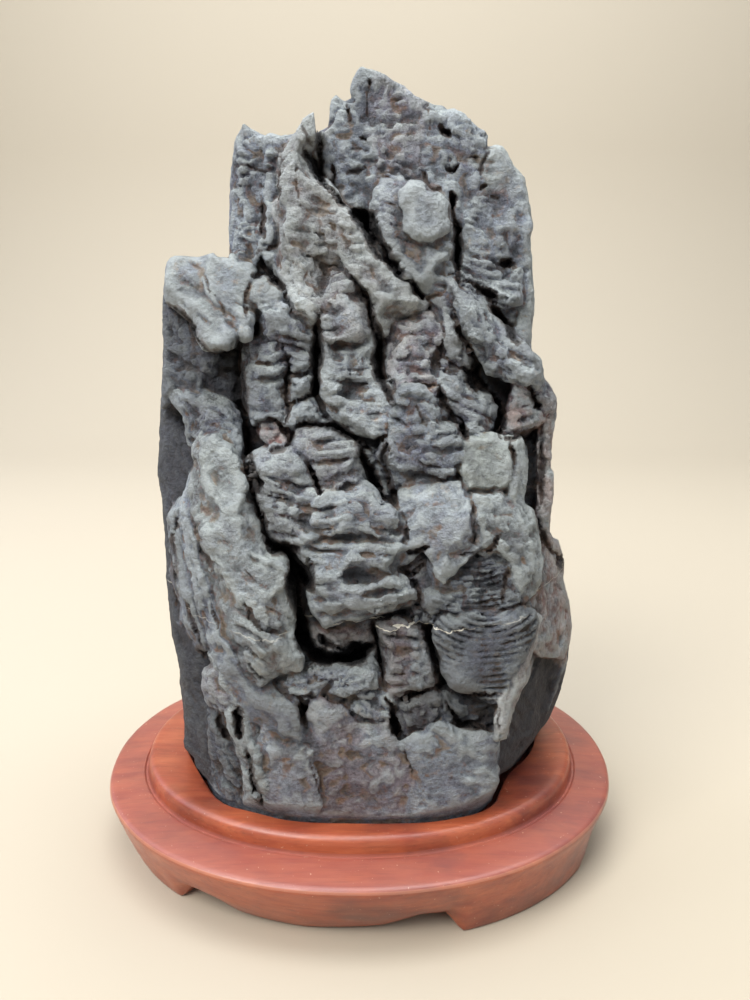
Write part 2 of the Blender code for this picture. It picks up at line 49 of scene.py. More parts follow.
def setCamera():
    data = bpy.data.cameras.new("camera")
    data.sensor_width = 36.0
    data.lens = camera["focalPx"] / camera["longSidePx"] * data.sensor_width
    data.clip_start = 0.01
    made = bpy.data.objects.new("camera", data)
    bpy.context.scene.collection.objects.link(made)
    made.location = [c * mm for c in camera["place"]]
    made.rotation_euler = (math.radians(90) - cameraPitch, 0, 0)
    bpy.context.scene.camera = made


# pixel across, pixel down and millimetres per pixel of a point
def toPixels(x, y, z):
    ex, ey, ez = camera["place"]
    forward = (y - ey) * math.cos(cameraPitch) - (z - ez) * math.sin(cameraPitch)
    down = -(y - ey) * math.sin(cameraPitch) - (z - ez) * math.cos(cameraPitch)
    across = camera["centrePx"][0] + camera["focalPx"] * (x - ex) / forward
    return across, camera["centrePx"][1] + camera["focalPx"] * down / forward, forward / camera["focalPx"]


# where a pixel's ray meets the plane y = depth, as (x, z)
def onPlane(pixel, depth=0.0):
    ex, ey, ez = camera["place"]
    right, down = ((p - c) / camera["focalPx"] for p, c in zip(pixel, camera["centrePx"]))
    reach = (depth - ey) / (math.cos(cameraPitch) - down * math.sin(cameraPitch))
    return ex + reach * right, ez + reach * (-math.sin(cameraPitch) - down * math.cos(cameraPitch))


# shapes in the plane and in space

def outlineDistance(px, py, outline):
    corners = np.asarray(outline, np.float32)
    nearest = np.full(px.shape, 1e12, np.float32)
    inside = np.zeros(px.shape, bool)
    for (ax, ay), (bx, by) in zip(corners, np.roll(corners, -1, axis=0)):
        ex, ey = bx - ax, by - ay
        along = np.clip(((px - ax) * ex + (py - ay) * ey) / (ex * ex + ey * ey), 0, 1)
        nearest = np.minimum(nearest, (px - ax - along * ex) ** 2 + (py - ay - along * ey) ** 2)
        if ey != 0:
            inside ^= ((ay > py) != (by > py)) & (px < ax + (py - ay) / ey * ex)
    return np.where(inside, 1, -1) * np.sqrt(nearest)


def smoothMax(a, b, reach):
    mix = np.clip(0.5 + 0.5 * (a - b) / reach, 0, 1)
    return b + (a - b) * mix + reach * mix * (1 - mix)


def smoothMin(a, b, reach):
    return -smoothMax(-a, -b, reach)


def quarterRound(distance, width):
    short = 1 - np.clip(distance / width, 0, 1)
    return np.sqrt(1 - short * short)


def latticeNoise(x, y, z, size, seed):
    cells = [np.floor(c / size).astype(np.int64) for c in (x, y, z)]
    parts = [(c / size - cell).astype(np.float32) for c, cell in zip((x, y, z), cells)]
    eases = [p * p * (3 - 2 * p) for p in parts]
    total = 0
    for corner in np.ndindex(2, 2, 2):
        key = seed * 977
        weight = 1
        for axis in range(3):
            key = key * 1619 + (cells[axis] + corner[axis]) * (31337, 6971, 1013)[axis]
            weight = weight * (eases[axis] if corner[axis] else 1 - eases[axis])
        key = (key ^ (key >> 13)) * 1274126177
        total = total + weight * (((key ^ (key >> 16)) & 0xFFFF).astype(np.float32) / 32767.5 - 1)
    return total


# the stone: sizes in millimetres, outlines in the photograph's pixels
stone = dict(
    step=1.5, base=26.3, plugTop=37.0, coreSetback=7.0, backClefts=6.0, growPx=5.0, triangles=190000,
    faceHeightPx=(60, 130, 200, 270, 330, 400, 460, 520, 600, 680, 750, 820),
    faceFront=(6, 0, -6, -12, -18, -26, -33, -40, -47, -52, -55, -56),
    lump=1.4, knobble=0.7, crunch=0.5, billow=1.5, wideBillow=2.0, flake=2.2, wanderPx=3.6, smallWanderPx=2.4,
    fineWanderPx=1.2, ribMm=6.0, ribDepth=1.4, slabDepth=17.0, slabReach=15.0, thinnestCrag=8.0,
    cragBlend=0.8, footBlend=2.0, pinchPasses=12, drawPasses=3, box=((-94, 102), (-72, 60), (22, 310)),
    foot=[(-77, -3), (-64, -27), (-53, -45), (-38, -50), (-25, -55), (-3, -56), (16, -56), (30, -55),
          (50, -49), (56, -35), (60, -26), (71, -14), (77, 0), (77, 15), (69, 31), (45, 43), (10, 48),
          (-30, 46), (-60, 35), (-75, 18)],
)

silhouette = [
    (229, 258), (229, 195), (231, 170), (235, 140), (243, 123), (252, 129), (265, 136), (270, 133),
    (280, 136), (295, 133), (303, 118), (314, 111), (315, 120), (316, 134), (320, 130), (328, 127),
    (331, 100), (336, 93), (342, 99), (345, 101), (352, 98), (350, 90), (354, 78), (361, 68), (372, 70),
    (385, 75), (395, 82), (405, 86), (415, 96), (435, 105), (442, 106), (447, 110), (453, 109),
    (465, 113), (473, 122), (485, 131), (488, 136), (487, 148), (495, 145), (502, 146), (507, 152),
    (513, 164), (525, 178), (529, 200), (533, 225), (530, 243), (533, 262), (534, 300), (531, 352),
    (536, 352), (540, 357), (544, 378), (550, 385), (557, 398), (555, 420), (552, 445), (551, 468),
    (554, 472), (553, 495), (549, 532), (553, 538), (558, 540), (564, 560), (563, 580), (569, 600),
    (572, 625), (568, 660), (560, 690), (551, 716), (540, 730), (530, 745), (520, 760), (510, 769),
    (499, 775), (499, 782), (492, 800), (480, 812), (480, 840), (215, 840), (215, 800), (207, 780),
    (193, 770), (195, 758), (183, 748), (185, 720), (181, 690), (180, 670), (172, 632), (167, 580),
    (165, 540), (162, 500), (158, 475), (159, 450), (160, 415), (162, 390), (164, 340), (162, 310),
    (163, 290), (166, 262), (170, 258), (178, 256), (200, 256), (213, 253), (217, 257),
]

# the masses behind the crags, and how far the back of each swells past the plane y = 0
masses = dict(
    body=dict(back=44, roundness=26, outline=[
        (165, 285), (200, 262), (245, 272), (290, 262), (400, 250), (470, 262), (533, 300), (531, 352),
        (540, 357), (550, 385), (555, 420), (551, 468), (549, 532), (558, 540), (563, 580), (571, 625),
        (568, 660), (558, 690), (545, 716), (530, 745), (510, 769), (495, 800), (480, 812), (360, 820),
        (290, 822), (245, 805), (215, 800), (193, 770), (184, 740), (180, 670), (170, 620), (165, 540),
        (158, 475), (160, 415), (164, 340)]),
    saddle=dict(back=37, roundness=24, outline=[
        (236, 300), (262, 225), (300, 205), (345, 212), (440, 205), (500, 225), (531, 262), (534, 300),
        (531, 352), (540, 380), (540, 440), (200, 440), (200, 330)]),
    summit=dict(back=30, roundness=20, outline=[
        (310, 150), (318, 128), (329, 120), (336, 93), (345, 101), (351, 90), (361, 68), (385, 75), (405, 86),
        (420, 99), (447, 110), (465, 113), (488, 136), (500, 160), (510, 260), (500, 330), (320, 330),
        (308, 200)]),
    leftTower=dict(back=18, roundness=14, outline=[
        (229, 195), (232, 160), (243, 123), (265, 136), (295, 133), (314, 111), (318, 150), (330, 320),
        (240, 320), (229, 258)]),
    rightSlab=dict(back=24, roundness=16, outline=[
        (470, 140), (502, 146), (525, 178), (533, 225), (534, 300), (531, 352), (440, 352), (450, 180)]),
    shoulder=dict(back=34, roundness=20, outline=[
        (164, 310), (166, 264), (178, 256), (200, 256), (229, 257), (252, 273), (300, 290), (320, 420),
        (160, 420)]),
)


# one crag: out stands forward of the face, turn faces right and lean faces up in degrees, edge is its
# bevelled border in pixels and drop that border's depth; ledges are (pitch px, depth mm, tilt degrees),
# straight or in arcs round a pixel; warm, green and pale are shares of those tints, dark is a share of
# near-black that is partly darker stone and partly painted shade on faces turned from the light and in
# recesses, and rough is how much of the crunch and flakes it takes
crags = []
usualCrag = dict(out=0, turn=0, lean=0, edge=9, drop=6, ledges=(9, 0.8, 0), arc=None, warm=0, green=0, pale=0,
                 dark=0, rough=1)


def crag(name, outline, **changes):
    made = usualCrag | changes | dict(name=name, outline=outline)
    crags.append(made | dict(smooth=1 - made["rough"]))


# the towers at the top
crag("leftTower", [
    (229, 195), (232, 160), (236, 138), (243, 123), (252, 129), (268, 136), (268, 150), (266, 180),
    (262, 200), (264, 215), (262, 250), (258, 258), (262, 278), (250, 272), (240, 266), (232, 262),
    (229, 240), (231, 222)], out=-3, turn=-14, edge=10, drop=6, ledges=(12, 0.5, -6))
crag("towerStrip", [
    (268, 136), (290, 132), (297, 133), (290, 146), (285, 150), (279, 158), (278, 180), (279, 205),
    (281, 220), (282, 240), (286, 275), (287, 290), (280, 283), (270, 270), (268, 258), (263, 252),
    (263, 235), (264, 215), (262, 200), (266, 180), (268, 150)], edge=7, drop=5, ledges=(11, 0.5, 8))
crag("hornRidge", [
    (285, 150), (290, 146), (297, 133), (303, 118), (314, 111), (316, 135), (308, 152), (312, 172),
    (320, 182), (330, 192), (341, 204), (352, 210), (361, 222), (365, 240), (378, 255), (385, 266),
    (395, 277), (408, 285), (418, 295), (424, 305), (408, 308), (395, 315), (385, 330), (378, 335),
    (372, 315), (362, 292), (352, 275), (340, 265), (320, 262), (320, 310), (315, 325), (308, 322),
    (300, 315), (290, 297), (283, 280), (282, 240), (279, 205), (279, 158)],
     out=6, turn=3, edge=11, drop=7, ledges=(11, 0.35, 10), warm=0.15, pale=0.95, rough=0.8)
crag("summitLeft", [
    (318, 134), (325, 128), (329, 120), (332, 99), (336, 93), (346, 101), (345, 128), (347, 160),
    (346, 196), (335, 190), (330, 180), (326, 165)], out=-9, turn=-10, edge=6, drop=4, ledges=(10, 0.7, 0))
crag("summitMiddle", [
    (345, 101), (351, 98), (350, 88), (355, 76), (361, 68), (373, 71), (371, 120), (376, 160), (372, 210),
    (365, 205), (358, 197), (346, 198), (347, 150)], out=-7, edge=8, drop=5, ledges=(12, 1.3, 0))
crag("summitRight", [
    (373, 71), (385, 75), (395, 82), (405, 86), (415, 96), (425, 100), (426, 150), (428, 195), (407, 187),
    (400, 180), (383, 183), (374, 215), (376, 160), (371, 120)],
     out=-6, turn=4, edge=9, drop=5, ledges=(13, 0.7, 0), warm=0.2)
crag("summitFlutes", [
    (427, 101), (435, 105), (442, 106), (447, 110), (453, 109), (450, 130), (443, 150), (447, 172),
    (455, 200), (449, 222), (446, 213), (434, 198), (428, 192), (426, 150)],
     out=-9, turn=8, edge=6, drop=4, ledges=(9, 0.8, 0))
crag("summitKnobUpper", [
    (450, 112), (465, 113), (473, 122), (485, 131), (488, 136), (480, 142), (462, 140), (450, 136),
    (446, 124)], out=-5, turn=10, edge=8, drop=5, ledges=(8, 0.9, 0))
crag("summitKnobRight", [
    (462, 141), (475, 137), (488, 138), (488, 150), (480, 154), (468, 153)], out=-6, turn=14, edge=6, drop=4)
crag("knobLow", [
    (443, 151), (450, 147), (457, 150), (460, 157), (455, 168), (448, 168)], out=-6, edge=6, drop=4)
crag("knobSide", [
    (463, 165), (470, 163), (478, 170), (482, 178), (475, 187), (465, 184)], out=-6, turn=8, edge=6, drop=4)
crag("rightSlab", [
    (481, 175), (480, 160), (487, 150), (495, 145), (502, 146), (508, 155), (513, 164), (525, 178),
    (529, 200), (533, 225), (530, 243), (534, 270), (534, 300), (531, 352), (522, 352), (517, 335),
    (519, 310), (518, 290), (520, 270), (514, 240), (514, 205), (508, 197), (497, 192), (485, 183)],
     out=-12, turn=26, edge=9, drop=4, ledges=(40, 0.3, 80), green=0.5, pale=0.35, rough=0.4)
crag("loaf", [
    (376, 200), (378, 190), (383, 183), (392, 181), (400, 180), (407, 187), (420, 190), (428, 192),
    (434, 198), (441, 205), (446, 213), (448, 235), (451, 258), (449, 268), (453, 282), (449, 290),
    (430, 290), (420, 288), (412, 280), (405, 272), (398, 262), (393, 252), (381, 234), (374, 228),
    (375, 215)], out=4, turn=6, lean=4, edge=14, drop=9, ledges=(11, 0.7, 16), pale=0.2, rough=0.5)
crag("loafFacet", [
    (404, 193), (412, 186), (426, 187), (438, 197), (446, 212), (447, 226), (440, 235), (428, 238),
    (415, 236), (408, 226), (403, 208)],
     out=9, turn=8, edge=5, drop=3, ledges=(0, 0, 0), pale=0.25, rough=0.15)
crag("ledgeHigh", [
    (470, 196), (482, 190), (490, 197), (500, 197), (510, 200), (514, 210), (512, 224), (500, 224),
    (487, 210), (475, 212)], out=-7, turn=10, edge=6, drop=5, dark=0.15)
crag("ledgeUpper", [
    (466, 222), (470, 218), (480, 223), (488, 230), (500, 228), (506, 236), (512, 257), (505, 261),
    (499, 258), (490, 258), (470, 253), (464, 245), (463, 235)], out=-6, turn=8, edge=7, drop=5,
     ledges=(9, 1.0, 14), dark=0.1)
crag("ledgeMiddle", [
    (462, 256), (480, 258), (490, 265), (497, 278), (495, 289), (480, 277), (465, 271), (458, 268)],
     out=-5, turn=8, edge=6, drop=5, ledges=(8, 1.0, 20))
crag("ledgeLower", [
    (455, 270), (470, 274), (482, 281), (492, 291), (500, 288), (508, 283), (515, 275), (518, 290),
    (516, 300), (505, 302), (487, 300), (470, 298), (460, 297)], out=-4, turn=10, edge=6, drop=5,
     ledges=(8, 1.0, 14))

# the left shoulder and what lies under it
crag("shoulderLeft", [
    (166, 262), (170, 258), (178, 256), (200, 256), (213, 253), (217, 257), (222, 262), (213, 285),
    (218, 290), (223, 300), (229, 320), (234, 332), (232, 340), (218, 346), (207, 346), (203, 340),
    (192, 320), (178, 306), (168, 293), (165, 275)],
     out=4, turn=-6, lean=20, edge=7, drop=5, ledges=(22, 0.6, 30), green=0.3, pale=0.05, rough=0.2,
     dark=0.16)
crag("shoulderMiddle", [
    (209, 256), (217, 257), (227, 255), (235, 263), (253, 273), (250, 285), (246, 300), (250, 315),
    (245, 335), (240, 325), (228, 318), (216, 305), (205, 283)],
     out=5.5, lean=14, edge=6, drop=4, ledges=(14, 0.8, 24), pale=0.05, rough=0.2, green=0.3, dark=0.16)
crag("shoulderRight", [
    (252, 281), (270, 283), (278, 297), (270, 305), (262, 310), (250, 300), (247, 298)],
     out=5, edge=8, drop=6, ledges=(8, 0.8, 0), pale=0.05, rough=0.2, green=0.3, dark=0.2)
# painted shade: the recesses under the shoulder take a large dark share
crag("recessUpper", [
    (164, 297), (180, 312), (200, 342), (214, 350), (212, 372), (198, 396), (178, 390), (162, 402)],
     out=-9, turn=-18, edge=9, drop=5, ledges=(20, 0.8, 40), dark=0.6)
crag("recessInner", [
    (206, 350), (232, 344), (244, 350), (246, 372), (245, 402), (225, 404), (208, 396), (214, 372)],
     out=-12, turn=10, edge=8, drop=5, ledges=(18, 0.8, -40), dark=0.75)
crag("leftLower", [
    (173, 393), (186, 390), (198, 392), (217, 400), (230, 405), (235, 415), (237, 440), (240, 462),
    (222, 452), (205, 445), (195, 440), (187, 415), (175, 400)],
     out=-4, turn=-12, edge=10, drop=6, ledges=(13, 0.8, 30), dark=0.2)
# painted shade: this flank, turned from the light, takes a large dark share
crag("leftFlank", [
    (160, 400), (176, 400), (190, 425), (198, 450), (192, 500), (190, 560), (202, 640), (215, 760),
    (215, 800), (193, 770), (180, 670), (170, 620), (158, 475)],
     out=-24, turn=-46, edge=8, drop=4, ledges=(15, 0.6, 60), dark=0.86, rough=0.5)

# the columns across the middle
crag("columnLeftHead", [
    (262, 310), (270, 305), (280, 302), (292, 312), (303, 318), (311, 332), (313, 340), (310, 348),
    (300, 351), (285, 348), (270, 340), (263, 335)], out=5, edge=10, drop=7, ledges=(10, 1.1, 12))
crag("columnLeftUpper", [
    (247, 350), (250, 341), (262, 340), (280, 341), (284, 350), (284, 362), (280, 378), (262, 380),
    (248, 376)], out=3, turn=-6, edge=9, drop=6, ledges=(13, 1.2, 0))
crag("columnLeftLower", [
    (246, 378), (262, 378), (284, 374), (285, 390), (283, 422), (270, 412), (262, 420), (256, 422),
    (253, 415), (247, 395)], out=2, turn=-6, edge=9, drop=6, ledges=(12, 1.2, 8), dark=0.2)
crag("rightKnuckleUpper", [
    (286, 352), (305, 350), (312, 353), (311, 362), (305, 368), (297, 372), (288, 370)],
     out=2, edge=7, drop=5)
crag("rightKnuckleMiddle", [
    (287, 373), (305, 371), (309, 376), (309, 390), (304, 397), (298, 403), (290, 404), (286, 395)],
     out=2, edge=8, drop=6, ledges=(9, 1.0, 0))
crag("rightKnuckleLower", [
    (287, 408), (303, 402), (310, 404), (318, 422), (315, 427), (305, 424), (297, 428), (288, 424)],
     out=1, edge=8, drop=6)
crag("rustLump", [
    (263, 424), (272, 420), (285, 428), (288, 442), (276, 446), (264, 440)], out=0, edge=7, drop=5, warm=0.8)
crag("longColumnHead", [
    (320, 262), (333, 257), (345, 267), (355, 282), (362, 297), (369, 308), (372, 322), (371, 344),
    (352, 348), (330, 350), (320, 340), (320, 300)],
     out=6, edge=13, drop=9, ledges=(16, 1.1, -8), warm=0.25, pale=0.3)
crag("longColumnBelly", [
    (321, 344), (335, 350), (355, 350), (370, 342), (372, 358), (376, 378), (372, 388), (345, 390),
    (323, 386)], out=6, edge=12, drop=8, ledges=(14, 1.0, -4), pale=0.35, rough=0.8)
crag("longColumnFoot", [
    (322, 384), (345, 390), (374, 382), (386, 385), (391, 400), (389, 420), (388, 430), (375, 436),
    (352, 431), (335, 426), (326, 402)], out=5, edge=12, drop=8, ledges=(15, 1.0, 6), pale=0.35, rough=0.7)
crag("ochreColumn", [
    (392, 318), (405, 316), (415, 313), (432, 311), (438, 313), (440, 335), (441, 350), (437, 372),
    (437, 393), (430, 392), (412, 386), (395, 388), (391, 360)],
     out=2, edge=11, drop=8, ledges=(13, 0.9, 6), warm=0.35)
crag("rightColumnHead", [
    (432, 300), (440, 293), (449, 291), (451, 300), (456, 325), (462, 332), (468, 350), (474, 359),
    (466, 368), (450, 366), (438, 362), (443, 352), (443, 320)],
     out=2, turn=4, edge=10, drop=7, ledges=(14, 0.9, 20), warm=0.1)
crag("rightColumnFoot", [
    (440, 366), (455, 368), (465, 370), (466, 380), (478, 392), (487, 398), (492, 408), (488, 430),
    (485, 436), (472, 440), (464, 438), (456, 415), (442, 400), (438, 385)],
     out=3, turn=4, edge=11, drop=8, ledges=(14, 0.9, 24))
crag("diagonal", [
    (452, 286), (460, 295), (470, 296), (484, 305), (486, 314), (500, 326), (510, 331), (518, 340),
    (531, 352), (541, 360), (544, 378), (538, 385), (522, 380), (507, 375), (492, 370), (489, 360),
    (478, 345), (466, 332), (458, 318)], out=5, turn=8, edge=12, drop=9, ledges=(16, 0.8, 30), pale=0.1)
crag("redPatch", [
    (515, 380), (528, 384), (530, 400), (540, 418), (522, 430), (510, 435), (502, 430), (512, 412)],
     out=-4, turn=18, edge=9, drop=5, ledges=(12, 0.6, 0), warm=1, pale=0.1, dark=0)
crag("rightKnob", [
    (530, 394), (540, 383), (548, 383), (557, 398), (552, 410), (545, 412), (538, 403)],
     out=-8, turn=26, edge=8, drop=5, warm=0.5)
crag("darkStrip", [
    (518, 436), (541, 415), (543, 470), (540, 530), (520, 512), (522, 470)],
     out=-20, turn=30, edge=7, drop=4, ledges=(9, 0.6, 0), dark=0.5)
crag("beigeStrip", [
    (541, 412), (556, 405), (552, 445), (551, 468), (553, 495), (549, 535), (540, 530), (543, 470)],
     out=-14, turn=40, edge=6, drop=4, ledges=(9, 0.6, 0), warm=0.8, pale=0.5)

# the heads under them
crag("smallHead", [
    (391, 410), (392, 400), (403, 388), (420, 389), (435, 400), (445, 415), (457, 424), (461, 440),
    (463, 465), (455, 478), (445, 483), (418, 478), (395, 482), (384, 465), (381, 455), (390, 435)],
     out=7, turn=2, edge=13, drop=9, ledges=(15, 0.9, 14), dark=0.2)
crag("smoothBlock", [
    (463, 445), (470, 439), (490, 436), (507, 442), (511, 462), (511, 482), (500, 486), (470, 487),
    (463, 465)], out=4, turn=10, edge=10, drop=2.5, ledges=(30, 0.3, 0), green=0.7, pale=0.3, rough=0.25)
crag("thinSlab", [
    (507, 440), (515, 441), (519, 450), (518, 470), (520, 490), (519, 512), (512, 500), (511, 462)],
     out=1, turn=20, edge=6, drop=2.5, ledges=(14, 0.5, 0), green=0.4, pale=0.2, rough=0.4)
crag("blueFacet", [
    (402, 490), (415, 482), (440, 484), (460, 484), (470, 500), (472, 520), (476, 545), (470, 552),
    (457, 565), (443, 578), (432, 555), (427, 547), (410, 545), (406, 515)],
     out=7, lean=8, edge=11, drop=4.5, ledges=(24, 0.5, -10), pale=0.35, rough=0.3)
crag("rightFacet", [
    (475, 500), (500, 497), (514, 505), (530, 515), (538, 580), (520, 600), (508, 560), (497, 545),
    (485, 550), (477, 547)], out=3, turn=16, edge=10, drop=3.5, ledges=(22, 0.5, 10), green=0.35, pale=0.2,
     rough=0.5)
crag("nestedArcsUpper", [
    (432, 560), (445, 580), (458, 566), (472, 553), (497, 548), (508, 562), (516, 590), (480, 588),
    (440, 592)], out=2, turn=8, edge=8, drop=5, ledges=(8, 1.1, 0), dark=0.35, arc=(472, 538))
crag("nestedArcsLower", [
    (424, 596), (440, 590), (480, 588), (520, 592), (528, 608), (485, 611), (450, 616), (428, 616)],
     out=3, turn=6, edge=7, drop=5, ledges=(7, 1.0, -4), dark=0.4, arc=(472, 538))
crag("wedge", [
    (442, 622), (450, 618), (470, 614), (500, 611), (527, 612), (534, 616), (530, 640), (520, 668),
    (512, 690), (505, 704), (490, 700), (470, 692), (455, 682), (447, 668), (440, 640)],
     out=5, turn=10, lean=-6, edge=11, drop=5, ledges=(8, 1.1, 0), dark=0.5, arc=(488, 596), rough=0.3)
crag("paleRidge", [
    (524, 612), (537, 615), (533, 640), (525, 665), (515, 690), (507, 712), (503, 736), (497, 736),
    (501, 710), (508, 688), (516, 662), (524, 638)],
     out=0, turn=30, edge=4, drop=2, ledges=(0, 0, 0), warm=0.35, pale=0.9, rough=0.4)
crag("shelves", [
    (397, 547), (418, 547), (430, 556), (437, 575), (441, 592), (430, 602), (425, 620), (412, 612),
    (404, 598), (410, 585), (398, 573), (391, 562)],
     out=-2, edge=6, drop=4, ledges=(11, 1.6, -18), warm=0.3, dark=0.25)
crag("wedgeFoot", [
    (442, 690), (460, 690), (480, 698), (505, 704), (499, 725), (498, 740), (470, 728), (440, 722)],
     out=-3, turn=10, edge=9, drop=6, ledges=(9, 0.8, 0), dark=0.6)
crag("flankUpper", [
    (520, 560), (540, 535), (553, 538), (558, 540), (564, 560), (563, 580), (569, 600), (572, 625),
    (560, 655), (534, 650), (536, 616), (528, 608)],
     out=-24, turn=54, edge=10, drop=6, ledges=(12, 0.5, 60), warm=0.8, pale=0.8, dark=0, rough=0.4)
# painted shade: the lower flank, turned from the light, takes most of the dark share
crag("flankLower", [
    (530, 645), (560, 650), (571, 640), (560, 690), (551, 716), (540, 730), (530, 745), (510, 769),
    (499, 776), (498, 740), (505, 700), (522, 668)],
     out=-28, turn=58, edge=10, drop=6, ledges=(16, 0.5, 50), warm=0.1, dark=0.93, rough=0.4)

# the big spear and the folded body beside it
crag("spear", [
    (200, 447), (203, 440), (216, 438), (230, 455), (241, 468), (249, 487), (254, 512), (262, 530),
    (272, 548), (286, 565), (292, 585), (290, 610), (286, 635), (296, 652), (299, 660), (298, 668),
    (280, 670), (262, 682), (246, 672), (236, 640), (222, 600), (207, 560), (197, 520), (195, 480)],
     out=9, turn=-4, lean=4, edge=15, drop=9, ledges=(17, 0.8, 30), green=0.35, pale=0.35, rough=0.4,
     dark=0.06)
crag("spearFolds", [
    (197, 470), (196, 520), (207, 562), (222, 602), (236, 642), (246, 672), (228, 664), (212, 640),
    (200, 600), (190, 560), (186, 510)], out=3, turn=-26, edge=10, drop=7, ledges=(9, 1.4, 66), rough=0.45)
crag("outerFolds", [
    (185, 500), (190, 560), (200, 600), (213, 642), (203, 646), (190, 625), (178, 580), (172, 520)],
     out=-6, turn=-34, edge=8, drop=6, ledges=(8, 1.3, 68), dark=0.25, rough=0.45)
crag("foldedLeft", [
    (249, 462), (258, 458), (270, 453), (277, 446), (290, 448), (302, 460), (311, 478), (318, 493),
    (312, 520), (300, 550), (285, 541), (272, 540), (262, 520), (257, 497)],
     out=7, turn=-4, edge=11, drop=8, ledges=(20, 1.2, 10), warm=0.1, pale=0.1)
crag("foldedHead", [
    (293, 445), (303, 431), (314, 428), (334, 427), (343, 440), (356, 450), (355, 460), (362, 487),
    (345, 486), (325, 492), (314, 478), (303, 460)],
     out=5, edge=12, drop=8, ledges=(18, 1.0, 4), warm=0.15, pale=0.15)
crag("foldedUpper", [
    (302, 496), (325, 492), (362, 485), (378, 497), (397, 508), (402, 512), (407, 535), (380, 540),
    (340, 536), (300, 545), (288, 540), (300, 520)],
     out=8, edge=12, drop=8, ledges=(24, 1.6, 0), pale=0.2, rough=0.7)
crag("foldedMiddle", [
    (290, 542), (340, 537), (405, 532), (409, 545), (415, 550), (405, 557), (392, 566), (396, 576),
    (360, 580), (325, 578), (312, 574), (305, 560)],
     out=7, edge=10, drop=7, ledges=(17, 1.5, 4), pale=0.2, rough=0.6)
crag("foldedLower", [
    (312, 590), (318, 577), (360, 580), (396, 575), (405, 582), (416, 592), (414, 599), (397, 606),
    (370, 613), (345, 615), (325, 622), (316, 612)],
     out=7, edge=9, drop=7, ledges=(15, 1.4, -6), pale=0.2, rough=0.55)
crag("caveLump", [
    (303, 625), (310, 618), (320, 621), (345, 620), (365, 615), (375, 622), (372, 632), (343, 645),
    (326, 657), (321, 650), (308, 638)], out=-6, lean=20, edge=8, drop=6, ledges=(9, 0.7, 0), warm=0.6,
     pale=0.35)
crag("caveSideLump", [
    (292, 586), (300, 584), (306, 598), (300, 606), (293, 600)], out=-9, edge=5, drop=4, warm=0.7)
crag("pebbleUpper", [(364, 453), (380, 452), (381, 466), (367, 468)], out=-4, edge=7, drop=6)
crag("pebbleMiddle", [(368, 470), (384, 469), (386, 483), (371, 484)], out=-3, edge=7, drop=6)
crag("pebbleLower", [(372, 486), (390, 486), (393, 499), (378, 496)], out=-2, edge=6, drop=5)

# below the cave
crag("brownColumn", [
    (380, 625), (395, 621), (410, 619), (422, 624), (424, 640), (436, 665), (435, 680), (428, 690),
    (400, 698), (388, 700), (385, 685), (386, 660)],
     out=2, edge=11, drop=8, ledges=(12, 0.9, 0), warm=0.45, dark=0.3)
crag("brownColumnFoot", [
    (397, 702), (415, 694), (430, 689), (440, 698), (440, 712), (432, 722), (420, 730), (405, 737),
    (398, 724)], out=1, edge=9, drop=6, ledges=(10, 0.9, 0), warm=0.25, dark=0.5)
crag("sillLeft", [
    (262, 676), (278, 671), (300, 670), (322, 668), (332, 673), (334, 686), (325, 692), (308, 700),
    (292, 694), (278, 686)], out=3, lean=16, edge=9, drop=7, ledges=(12, 0.8, 0), pale=0.05)
crag("sillMiddle", [
    (330, 672), (350, 667), (372, 661), (379, 670), (380, 686), (362, 692), (342, 700), (330, 694)],
     out=4, lean=10, edge=10, drop=7, ledges=(16, 0.6, 0), pale=0.05, dark=0.1)
crag("sillSlab", [
    (346, 700), (362, 692), (382, 687), (392, 700), (392, 722), (375, 726), (354, 725), (344, 714)],
     out=2, edge=9, drop=6, ledges=(14, 0.6, 8), pale=0.1)
crag("footMiddle", [
    (308, 752), (311, 720), (318, 702), (333, 710), (342, 711), (348, 719), (356, 726), (372, 727),
    (392, 724), (395, 760), (409, 766), (412, 782), (405, 800), (400, 845), (325, 845), (320, 790)],
     out=3, edge=12, drop=1.5, ledges=(0, 0, 0), warm=0.35, dark=0.04, rough=0.45)
crag("footRight", [
    (401, 746), (412, 740), (425, 735), (440, 727), (460, 733), (480, 728), (490, 733), (495, 745),
    (492, 765), (499, 782), (490, 803), (482, 845), (440, 845), (405, 845), (412, 790), (410, 765)],
     out=2, turn=4, edge=12, drop=2, ledges=(0, 0, 0), dark=0.04, rough=0.5, pale=0.1)
crag("footLeft", [
    (265, 750), (262, 740), (268, 728), (278, 725), (290, 745), (310, 755), (315, 780), (314, 805),
    (312, 845), (280, 845), (268, 812), (266, 780)], out=4, turn=-6, edge=11, drop=1.5, ledges=(0, 0, 0),
     rough=0.45, pale=0.15, warm=0.15)
crag("slantRidge", [
    (219, 655), (232, 650), (246, 668), (262, 680), (280, 690), (294, 703), (304, 722), (308, 742),
    (300, 752), (288, 742), (270, 728), (252, 716), (238, 700), (226, 678)],
     out=5, turn=-4, edge=10, drop=5, ledges=(0, 0, 0), rough=0.3, dark=0.3)
crag("paleStrand", [
    (213, 655), (223, 660), (238, 690), (248, 715), (262, 745), (272, 835), (255, 835), (244, 760),
    (230, 712)], out=2, turn=-12, edge=8, drop=6, ledges=(12, 0.7, 60), pale=0.3, green=0.2)
crag("narrowLump", [
    (237, 676), (245, 662), (252, 668), (256, 690), (252, 706), (244, 706), (238, 692)],
     out=4, edge=7, drop=5, ledges=(10, 0.7, 0))
crag("lowLump", [
    (205, 685), (206, 675), (220, 665), (228, 680), (234, 702), (222, 706), (208, 700)],
     out=-2, turn=-16, edge=8, drop=6, ledges=(10, 0.8, 0), warm=0.3, dark=0.1)
# painted shade: this low recess takes a dark share
crag("lowRecess", [
    (212, 708), (236, 706), (246, 745), (256, 835), (222, 835), (216, 770)],
     out=-8, turn=-10, edge=8, drop=5, ledges=(13, 0.7, 50), dark=0.5)
